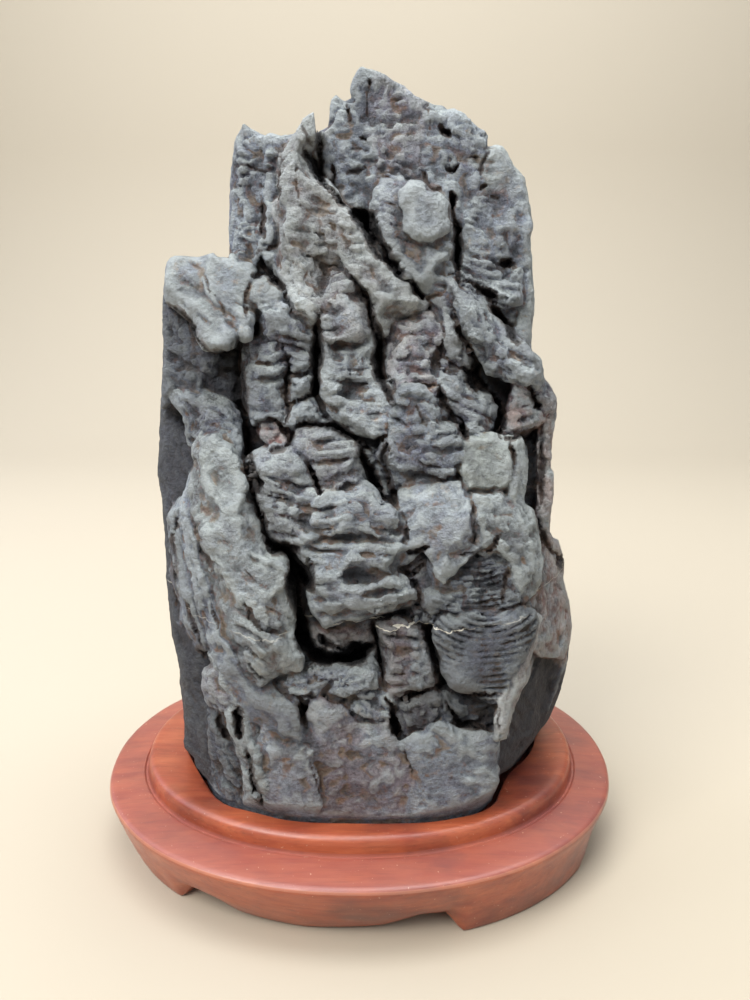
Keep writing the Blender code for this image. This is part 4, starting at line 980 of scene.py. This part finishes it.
def mouldingTree():
    tree = bpy.data.node_groups.new("carvedOvalMoulding", "GeometryNodeTree")
    sockets = {}
    for name, kind in (("Half Length", "NodeSocketFloat"), ("Half Depth", "NodeSocketFloat"),
                       ("Squareness", "NodeSocketFloat"), ("Around", "NodeSocketInt"),
                       ("Rows", "NodeSocketInt"), ("Foot Flare", "NodeSocketFloat"),
                       ("Carving", "NodeSocketFloat"), ("Wood", "NodeSocketMaterial")):
        sockets[name] = tree.interface.new_socket(name, in_out="INPUT", socket_type=kind).identifier
    tree.interface.new_socket("Geometry", in_out="OUTPUT", socket_type="NodeSocketGeometry")
    given = addNode(tree, "NodeGroupInput", out=None)
    around = addNode(tree, "Math", {0: given["Around"], 1: 1.0}, operation="ADD")
    grid = addNode(tree, "GeometryNodeMeshGrid", {
        "Size X": 1.0, "Size Y": 1.0, "Vertices X": around, "Vertices Y": given["Rows"]}, out="Mesh")
    place = addNode(tree, "SeparateXYZ", {0: addNode(tree, "GeometryNodeInputPosition")}, out=None)
    found = {"across": place["X"], "along": place["Y"], "footFlare": given["Foot Flare"]}

    # the moulding's profile and the lower edge are curves that the grid reads
    last = len(moulding) - 1
    profile = [[(n / last, row[column]) for n, row in enumerate(moulding)] for column in range(4)]
    lower = [[((p[0] + 180) / 360, p[column]) for p in lowerEdge()] for column in (1, 2)]
    for name, source, points, highest in (
            ("inset", "along", profile[0], 83.0), ("level", "along", profile[1], 35.0),
            ("rise", "along", profile[2], 1.0), ("flare", "along", profile[3], 1.0),
            ("edge", "across", lower[0], 10.0), ("foot", "across", lower[1], 1.0)):
        where = addNode(tree, "Math", {0: found[source], 1: 0.5}, operation="ADD")
        height = addNode(tree, "FloatCurve", {"Value": where}, label=name)
        shapeCurve(height.node, points, 0, highest)
        found[name] = addNode(tree, "Math", {0: height, 1: highest}, operation="MULTIPLY")

    # each row of the grid becomes a squared oval, set in from the rim by the profile
    for name, operation, *terms in (
            ("height", "MULTIPLY_ADD", "edge", "rise", "level"),
            ("spread", "MULTIPLY", "foot", "flare"),
            ("spread", "MULTIPLY", "spread", "footFlare"),
            ("inset", "SUBTRACT", "inset", "spread"),
            ("angle", "MULTIPLY", "across", 2 * math.pi)):
        values = {n: found.get(t, t) for n, t in enumerate(terms)}
        found[name] = addNode(tree, "Math", values, operation=operation)
    found["power"] = addNode(tree, "Math", {0: 2.0, 1: given["Squareness"]}, operation="DIVIDE")
    sides = []
    for turning, half in (("COSINE", "Half Length"), ("SINE", "Half Depth")):
        found["half"] = given[half]
        for name, operation, *terms in (
                ("wave", turning, "angle"), ("size", "ABSOLUTE", "wave"), ("size", "POWER", "size", "power"),
                ("reach", "SUBTRACT", "half", "inset"), ("reach", "MAXIMUM", "reach", 0.0),
                ("side", "SIGN", "wave"), ("side", "MULTIPLY", "side", "size"),
                ("side", "MULTIPLY", "side", "reach")):
            values = {n: found.get(t, t) for n, t in enumerate(terms)}
            found[name] = addNode(tree, "Math", values, operation=operation)
        sides.append(found["side"])
    oval = addNode(tree, "CombineXYZ", {"X": sides[0], "Y": sides[1], "Z": found["height"]})
    inMetres = addNode(tree, "VectorMath", {0: oval, "Scale": mm}, operation="SCALE")
    swept = addNode(tree, "GeometryNodeSetPosition", {"Geometry": grid, "Position": inMetres})
    closed = addNode(tree, "GeometryNodeMergeByDistance", {"Geometry": swept, "Distance": 0.00002})

    # the knife leaves long shallow hollows, but none on the feet's soles
    noise = addNode(tree, "TexNoise", {"Scale": 38.0, "Detail": 1.0})
    height = addNode(tree, "SeparateXYZ", {0: addNode(tree, "GeometryNodeInputPosition")}, out="Z")
    above = addNode(tree, "MapRange", {"Value": height, "From Min": 0.002, "From Max": 0.008})
    depth = addNode(tree, "Math", {0: given["Carving"], 1: mm}, operation="MULTIPLY")
    depth = addNode(tree, "Math", {0: depth, 1: above}, operation="MULTIPLY")
    amount = addNode(tree, "Math", {0: noise, 1: 0.5}, operation="SUBTRACT")
    amount = addNode(tree, "Math", {0: amount, 1: depth}, operation="MULTIPLY")
    outwards = addNode(tree, "GeometryNodeInputNormal")
    offset = addNode(tree, "VectorMath", {0: outwards, "Scale": amount}, operation="SCALE")
    carved = addNode(tree, "GeometryNodeSetPosition", {"Geometry": closed, "Offset": offset})
    real = addNode(tree, "GeometryNodeRealizeInstances", {0: carved})
    painted = addNode(tree, "GeometryNodeSetMaterial", {"Geometry": real, "Material": given["Wood"]})
    addNode(tree, "NodeGroupOutput", {0: painted}, out=None)
    return tree, sockets


def offsetOutline(outline, gap):
    corners = np.asarray(outline, float)
    before = corners - np.roll(corners, 1, axis=0)
    after = np.roll(corners, -1, axis=0) - corners
    normals = [np.stack([edge[:, 1], -edge[:, 0]], axis=1) for edge in (before, after)]
    mean = sum(normal / np.linalg.norm(normal, axis=1)[:, None] for normal in normals)
    length = np.linalg.norm(mean, axis=1)[:, None]
    return corners + mean / length * gap * 2 / length


# the outline with its corners eased, four points for each of its own
def easedOutline(outline):
    points = np.asarray(outline, float)
    for _ in range(2):
        after = np.roll(points, -1, axis=0)
        points = np.stack([0.75 * points + 0.25 * after, 0.25 * points + 0.75 * after], 1).reshape(-1, 2)
    return points


def makeStand(wood):
    tree, sockets = mouldingTree()
    made = meshObject("carvedStand", [(0, 0, 0)], [])
    modifier = made.modifiers.new("moulding", "NODES")
    modifier.node_group = tree
    rows = (len(moulding) - 1) * stand["stepsPerRow"] + 1
    for name, value in (("Half Length", stand["halfLength"]), ("Half Depth", stand["halfDepth"]),
                        ("Squareness", stand["squareness"]), ("Around", stand["around"]), ("Rows", rows),
                        ("Foot Flare", stand["footFlare"]), ("Carving", stand["carving"]), ("Wood", wood)):
        modifier[sockets[name]] = value
    flattened(made)
    turnOutwards(made)

    # the pocket, its lip flared where the knife eased the edge
    gap, lip, top = stand["pocketGap"], stand["lipFlare"], stand["lipLevel"]
    levels = ((stand["pocketFloor"], gap), (top - 0.8, gap), (top, gap + 0.25 * lip), (top + 0.5, gap + lip),
              (top + 6.6, gap + 6 * lip))
    rings = [offsetOutline(easedOutline(stone["foot"]), inset) for _, inset in levels]
    size = len(rings[0])
    points = [(*p, level) for ring, (level, _) in zip(rings, levels) for p in ring]
    walls = [(start + n, start + (n + 1) % size, start + size + (n + 1) % size, start + size + n)
             for start in range(0, (len(levels) - 1) * size, size) for n in range(size)]
    cutter = meshObject("pocketCutter", points, walls)
    shape = bmesh.new()
    shape.from_mesh(cutter.data)
    bmesh.ops.holes_fill(shape, edges=shape.edges, sides=0)
    bmesh.ops.recalc_face_normals(shape, faces=shape.faces)
    shape.to_mesh(cutter.data)
    shape.free()
    cutter.data.materials.append(wood)
    cut = made.modifiers.new("pocket", "BOOLEAN")
    cut.operation, cut.solver, cut.object = "DIFFERENCE", "EXACT", cutter
    flattened(made)
    bpy.data.objects.remove(cutter)
    made.data.shade_smooth()
    made.data.set_sharp_from_angle(angle=math.radians(stand["sharpAngle"]))
    print("stand:", len(made.data.polygons), "faces")
    return made


def turnOutwards(made):
    shape = bmesh.new()
    shape.from_mesh(made.data)
    bmesh.ops.remove_doubles(shape, verts=shape.verts, dist=0.00001)
    bmesh.ops.recalc_face_normals(shape, faces=shape.faces)
    shape.to_mesh(made.data)
    shape.free()


# weathered limestone: matte, sharkskin grain, with painted shade darkening its hollows and clefts, and pale
# on its crests, partly rubbed wear and partly painted highlight
rockLook = dict(
    dark="#5e6672", mid="#858f9f", light="#a6b0c0", rubbed="#bcc3c1", hollowShade="#121215", shade="#25252b",
    rust="#98604f", ochre="#a0845e", green="#a2a896", lilac="#888a9f", vein="#e4dfd0", soil="#4a3a30",
    ribMm=2.3, pitMm=1.9, veinHeight=110.6, veinHalfWidth=0.22, veinMiddle=15.0, veinReach=23.0, bump=1.5,
)


def makeRockMaterial():
    material, tree, shader = newMaterial("weatheredLimestone")
    look = rockLook
    place = addNode(tree, "TexCoord", out="Object")
    x, _, z = addNode(tree, "SeparateXYZ", {0: place}, out=None)
    facing = addNode(tree, "NewGeometry", out="Normal")
    found = {"up": addNode(tree, "SeparateXYZ", {0: facing}, out="Z"), "height": z}
    for name in ("crest", "hollowShade", "warm", "green", "pale", "dark", "smooth", "cleft"):
        found[name] = addNode(tree, "Attribute", out="Fac", attribute_name=name)
    for name, sizeMm, detail, roughness in (
            ("broad", 24, 4, 0.5), ("wide", 15, 3, 0.55), ("wisp", 7, 4, 0.55), ("blotch", 9, 5, 0.65),
            ("speck", 3.2, 5, 0.7), ("coarse", 2.8, 5, 0.7), ("grain", 1.2, 3, 0.85), ("waver", 5, 2, 0.5)):
        found[name] = addNode(tree, "TexNoise", {
            "Vector": place, "Scale": 1 / (sizeMm * mm), "Detail": detail, "Roughness": roughness}, out="Fac")
    creased = {"Vector": place, "Scale": 1 / (5.0 * mm), "Detail": 5, "Roughness": 0.55, "Lacunarity": 2.2}
    found["crease"] = addNode(tree, "TexNoise", creased, out="Fac", noise_type="RIDGED_MULTIFRACTAL")
    found["pits"] = addNode(tree, "TexVoronoi", {"Vector": place, "Scale": 1 / (look["pitMm"] * mm)})

    # fine ribs along the bedding
    bedding = z
    for name, share in (("broad", 16 * mm), ("waver", 5 * mm)):
        bedding = addNode(tree, "Math", {0: found[name], 1: share, 2: bedding}, operation="MULTIPLY_ADD")
    wave = addNode(tree, "Math", {0: bedding, 1: 2 * math.pi / (look["ribMm"] * mm)}, operation="MULTIPLY")
    found["rib"] = addNode(tree, "Math", {0: wave}, operation="SINE")

    # smooth faces show less of the grain and ribs
    even = addNode(tree, "Math", {0: found["smooth"], 1: 0.55}, operation="MULTIPLY")
    for name, middle in (("grain", 0.5), ("coarse", 0.5), ("rib", 0.0)):
        found[name] = addNode(tree, "Mix", {0: even, 2: found[name], 3: middle})

    # relief: ribs, creases, pits and sharkskin grain
    relief = 0.0
    for name, share in (("rib", 0.06), ("pits", 0.3), ("crease", -0.35), ("coarse", 1.5), ("grain", 1.6)):
        relief = addNode(tree, "Math", {0: found[name], 1: share, 2: relief}, operation="MULTIPLY_ADD")
    patchy = addNode(tree, "MapRange", {
        "Value": found["wide"], "From Min": 0.36, "From Max": 0.6, "To Min": 0.45, "To Max": 1.0})
    relief = addNode(tree, "Math", {0: relief, 1: patchy}, operation="MULTIPLY")
    bump = addNode(tree, "Bump", {"Height": relief, "Distance": look["bump"] * mm, "Strength": 1.0})
    tree.links.new(bump, shader.inputs["Normal"])

    # a thin pale vein crosses the front
    bend = addNode(tree, "Math", {0: x, 1: -0.9, 2: -0.02}, operation="MULTIPLY_ADD")
    across = addNode(tree, "Math", {0: x, 1: bend, 2: z}, operation="MULTIPLY_ADD")
    across = addNode(tree, "Math", {0: found["waver"], 1: 3.5 * mm, 2: across}, operation="MULTIPLY_ADD")
    for name, along, middle, reach in (
            ("vein", across, "veinHeight", "veinHalfWidth"), ("span", x, "veinMiddle", "veinReach")):
        values = {0: along, 1: look[middle] * mm, 2: look[reach] * mm}
        found[name] = addNode(tree, "Math", values, operation="COMPARE")

    # layers of colour from slate grey up: which, how much at most, and each pattern with its range
    layers = (
        ("mid", 1.0, ("broad", 0.36, 0.62)),
        ("lilac", 0.6, ("wide", 0.49, 0.64)),
        ("light", 0.45, ("wisp", 0.4, 0.66)),
        # upward-facing faces turn paler green: partly greenish dust, partly painted top light
        ("green", 0.55, ("up", 0.0, 0.9), ("wisp", 0.35, 0.6)),
        ("green", 0.6, ("green", 0.0, 1.0)),
        ("rubbed", 0.6, ("pale", 0.0, 1.0)),
        ("rust", 0.85, ("warm", 0.0, 1.0), ("blotch", 0.35, 0.58)),
        ("ochre", 0.7, ("speck", 0.56, 0.7), ("broad", 0.48, 0.6)),
        ("rubbed", 0.35, ("crease", 0.9, 1.6)),
        ("shade", 0.55, ("grain", 0.54, 0.34)),
        ("rubbed", 0.25, ("grain", 0.52, 0.7)),
        ("shade", 0.5, ("coarse", 0.5, 0.3)),
        ("shade", 0.35, ("broad", 0.56, 0.42), ("wisp", 0.58, 0.44)),
        ("shade", 0.24, ("smooth", 0.0, 1.0)),
        # darker towards the bottom: partly the base's darker slate, partly painted shade for the light
        # falling from above
        ("shade", 0.15, ("height", 150 * mm, 60 * mm)),
        ("ochre", 0.45, ("crest", -0.1, -0.5), ("blotch", 0.48, 0.6)),
        ("rust", 0.3, ("crest", -0.1, -0.5), ("speck", 0.5, 0.6)),
        # crests turn pale: partly rubbed wear, partly painted highlight
        ("rubbed", 0.35, ("crest", 0.15, 0.8)),
        # the crags' dark share: partly darker stone, partly painted shade on faces turned from the light and
        # in recesses
        ("shade", 1.0, ("dark", 0.0, 1.0)),
        # painted shade: creases and hollows go near black
        ("hollowShade", 0.5, ("crest", -0.15, -0.8)),
        ("hollowShade", 0.8, ("hollowShade", 0.1, 0.8)),
        ("soil", 0.7, ("cleft", 0.1, 1.2), ("wisp", 0.35, 0.55)),
        # painted shade: near black deep in the clefts
        ("hollowShade", 0.9, ("cleft", 1.5, 6.0)),
        ("vein", 0.85, ("vein", 0.0, 1.0), ("span", 0.0, 1.0)),
        ("vein", 0.3, ("vein", 0.0, 1.0), ("wide", 0.44, 0.52)),
    )
    colour = look["dark"]
    for name, most, *patterns in layers:
        share = most
        for pattern, low, high in patterns:
            there = addNode(tree, "MapRange", {"Value": found[pattern], "From Min": low, "From Max": high})
            share = addNode(tree, "Math", {0: there, 1: share}, operation="MULTIPLY")
        colour = addNode(tree, "Mix", {0: share, 6: colour, 7: look[name]}, 2, data_type="RGBA")
    tree.links.new(colour, shader.inputs["Base Color"])
    gloss = addNode(tree, "MapRange", {
        "Value": found["wisp"], "From Min": 0.3, "From Max": 0.7, "To Min": 0.58, "To Max": 0.85})
    tree.links.new(gloss, shader.inputs["Roughness"])
    shader.inputs["IOR"].default_value = 1.5
    return material


# lacquered hardwood: carved, stained red-brown and lacquered, so it has a soft gloss over the grain
woodLook = dict(
    deep="#3a1511", mid="#953e25", bright="#b45f3a", dustAndHighlight="#c9a08a", plum="#4a2026", mauve="#86504d",
    coat=0.6, coatRoughness=0.38, bump=0.12,
)


def makeWoodMaterial():
    material, tree, shader = newMaterial("lacqueredHardwood")
    look = woodLook
    place = addNode(tree, "TexCoord", out="Object")
    x, y, z = addNode(tree, "SeparateXYZ", {0: place}, out=None)
    found = {}
    for name, sizeMm, stretch, detail, roughness in (
            ("grain", 0.9, (0.07, 1, 1), 4, 0.6), ("streak", 4.0, (0.14, 1, 1), 4, 0.6),
            ("blotch", 24, (0.6, 1, 1), 5, 0.6), ("speck", 1.1, (1, 1, 1), 2, 0.55),
            ("rubbed", 9, (1, 1, 1), 4, 0.55)):
        along = addNode(tree, "Mapping", {"Vector": place, "Scale": stretch})
        found[name] = addNode(tree, "TexNoise", {
            "Vector": along, "Scale": 1 / (sizeMm * mm), "Detail": detail, "Roughness": roughness}, out="Fac")
    # painted shade: the wood darkens toward the right-hand front, away from the light, mixed with the blotchy
    # stain
    aside = addNode(tree, "Math", {0: x, 1: 2.6, 2: found["blotch"]}, operation="MULTIPLY_ADD")
    found["stainAndShade"] = addNode(tree, "Math", {0: y, 1: -0.5, 2: aside}, operation="MULTIPLY_ADD")
    # the flat of the rim takes a pale mauve veil, painted sheen of the room's light on the lacquer, and its
    # arris a pale line, partly rubbed wear and partly painted highlight
    for name, level, reach in (("rim", 27.2 * mm, 1.3 * mm), ("arris", 25.5 * mm, 0.5 * mm)):
        found[name] = addNode(tree, "Math", {0: z, 1: level, 2: reach}, operation="COMPARE")
    layers = (
        ("bright", 0.9, ("streak", 0.3, 0.7)),
        ("deep", 0.4, ("grain", 0.52, 0.8)),
        ("deep", 0.5, ("blotch", 0.48, 0.72)),
        # painted shade toward the right-hand front, with the stain's blotches
        ("plum", 0.5, ("stainAndShade", 0.62, 0.85)),
        # painted sheen: a pale mauve veil on the rim's flat
        ("mauve", 0.4, ("rim", 0.0, 1.0)),
        # the arris turns pale: partly rubbed wear, partly painted highlight
        ("dustAndHighlight", 0.25, ("arris", 0.0, 1.0)),
        ("dustAndHighlight", 0.7, ("speck", 0.7, 0.76)),
    )
    colour = look["mid"]
    for name, most, (pattern, low, high) in layers:
        share = addNode(tree, "MapRange", {
            "Value": found[pattern], "From Min": low, "From Max": high, "To Max": most})
        colour = addNode(tree, "Mix", {0: share, 6: colour, 7: look[name]}, 2, data_type="RGBA")
    tree.links.new(colour, shader.inputs["Base Color"])
    gloss = addNode(tree, "MapRange", {
        "Value": found["rubbed"], "From Min": 0.3, "From Max": 0.7, "To Min": 0.36, "To Max": 0.55})
    tree.links.new(gloss, shader.inputs["Roughness"])
    shader.inputs["Coat Weight"].default_value = look["coat"]
    shader.inputs["Coat Roughness"].default_value = look["coatRoughness"]
    bump = addNode(tree, "Bump", {"Height": found["grain"], "Distance": look["bump"] * mm, "Strength": 0.5})
    tree.links.new(bump, shader.inputs["Normal"])
    return material


# the floor sweeps up behind into a plain backdrop
studio = dict(floor="#b4aa98", halfWidth=2.2, front=-1.6, back=0.75, sweep=0.5, steps=16, wall=2.0)


def makeStudio():
    steps, sweep = studio["steps"], studio["sweep"]
    profile = [(studio["front"], 0.0), (studio["back"], 0.0)]
    for n in range(1, steps + 1):
        angle = math.radians(90 * n / steps)
        profile.append((studio["back"] + sweep * math.sin(angle), sweep * (1 - math.cos(angle))))
    profile.append((studio["back"] + sweep, studio["wall"]))
    points = [(side * studio["halfWidth"] / mm, y / mm, z / mm) for y, z in profile for side in (-1, 1)]
    faces = [(2 * n, 2 * n + 1, 2 * n + 3, 2 * n + 2) for n in range(len(profile) - 1)]
    floor = meshObject("paleFloor", points, faces)
    material, tree, shader = newMaterial("paleMattePaper")
    place = addNode(tree, "TexCoord", out="Object")
    fibre = addNode(tree, "TexNoise", {"Vector": place, "Scale": 900.0, "Detail": 2.0})
    shader.inputs["Base Color"].default_value = linear(studio["floor"])
    shader.inputs["Roughness"].default_value = 0.9
    bump = addNode(tree, "Bump", {"Height": fibre, "Distance": 0.05 * mm, "Strength": 0.2})
    tree.links.new(bump, shader.inputs["Normal"])
    floor.data.materials.append(material)
    floor.data.shade_smooth()

    world = bpy.data.worlds.new("softRoom")
    bpy.context.scene.world = world
    world.use_nodes = True
    world.node_tree.nodes["Background"].inputs["Color"].default_value = (0.93, 0.96, 1.0, 1.0)
    world.node_tree.nodes["Background"].inputs["Strength"].default_value = 0.3
    # a window high on the left, a soft top, a weak fill, a cool gleam from behind and light on the backdrop
    middle, backdrop = Vector((0, 0, 0.13)), Vector((0, 1.2, 0.55))
    for name, place, aim, size, power, colour in (
            ("keyLight", (-0.6, -0.7, 1.2), middle, 0.7, 21.0, "#fffdfa"),
            ("topLight", (0.1, 0.1, 1.5), middle, 1.1, 15.0, "#ffffff"),
            ("fillLight", (0.9, -0.9, 0.9), middle, 1.0, 3.0, "#ffffff"),
            ("gleamLight", (-1.0, 0.25, 0.7), middle, 0.8, 4.5, "#dfe6ff"),
            ("backdropLight", (0, 0.45, 1.5), backdrop, 1.6, 22.0, "#eef5ff")):
        lamp = bpy.data.lights.new(name, "AREA")
        lamp.size, lamp.energy, lamp.color = size, power, linear(colour)[:3]
        made = bpy.data.objects.new(name, lamp)
        bpy.context.scene.collection.objects.link(made)
        made.location = place
        made.rotation_euler = (aim - made.location).to_track_quat("-Z", "Y").to_euler()


bpy.context.scene.view_settings.view_transform = "Standard"
setCamera()
makeStudio()
rock = makeStone()
rock.data.materials.append(makeRockMaterial())
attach(rock, "root")
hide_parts("stone")
wood = makeWoodMaterial()
carved = makeStand(wood)
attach(carved, "root")
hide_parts("stand")
print("pieces ready")
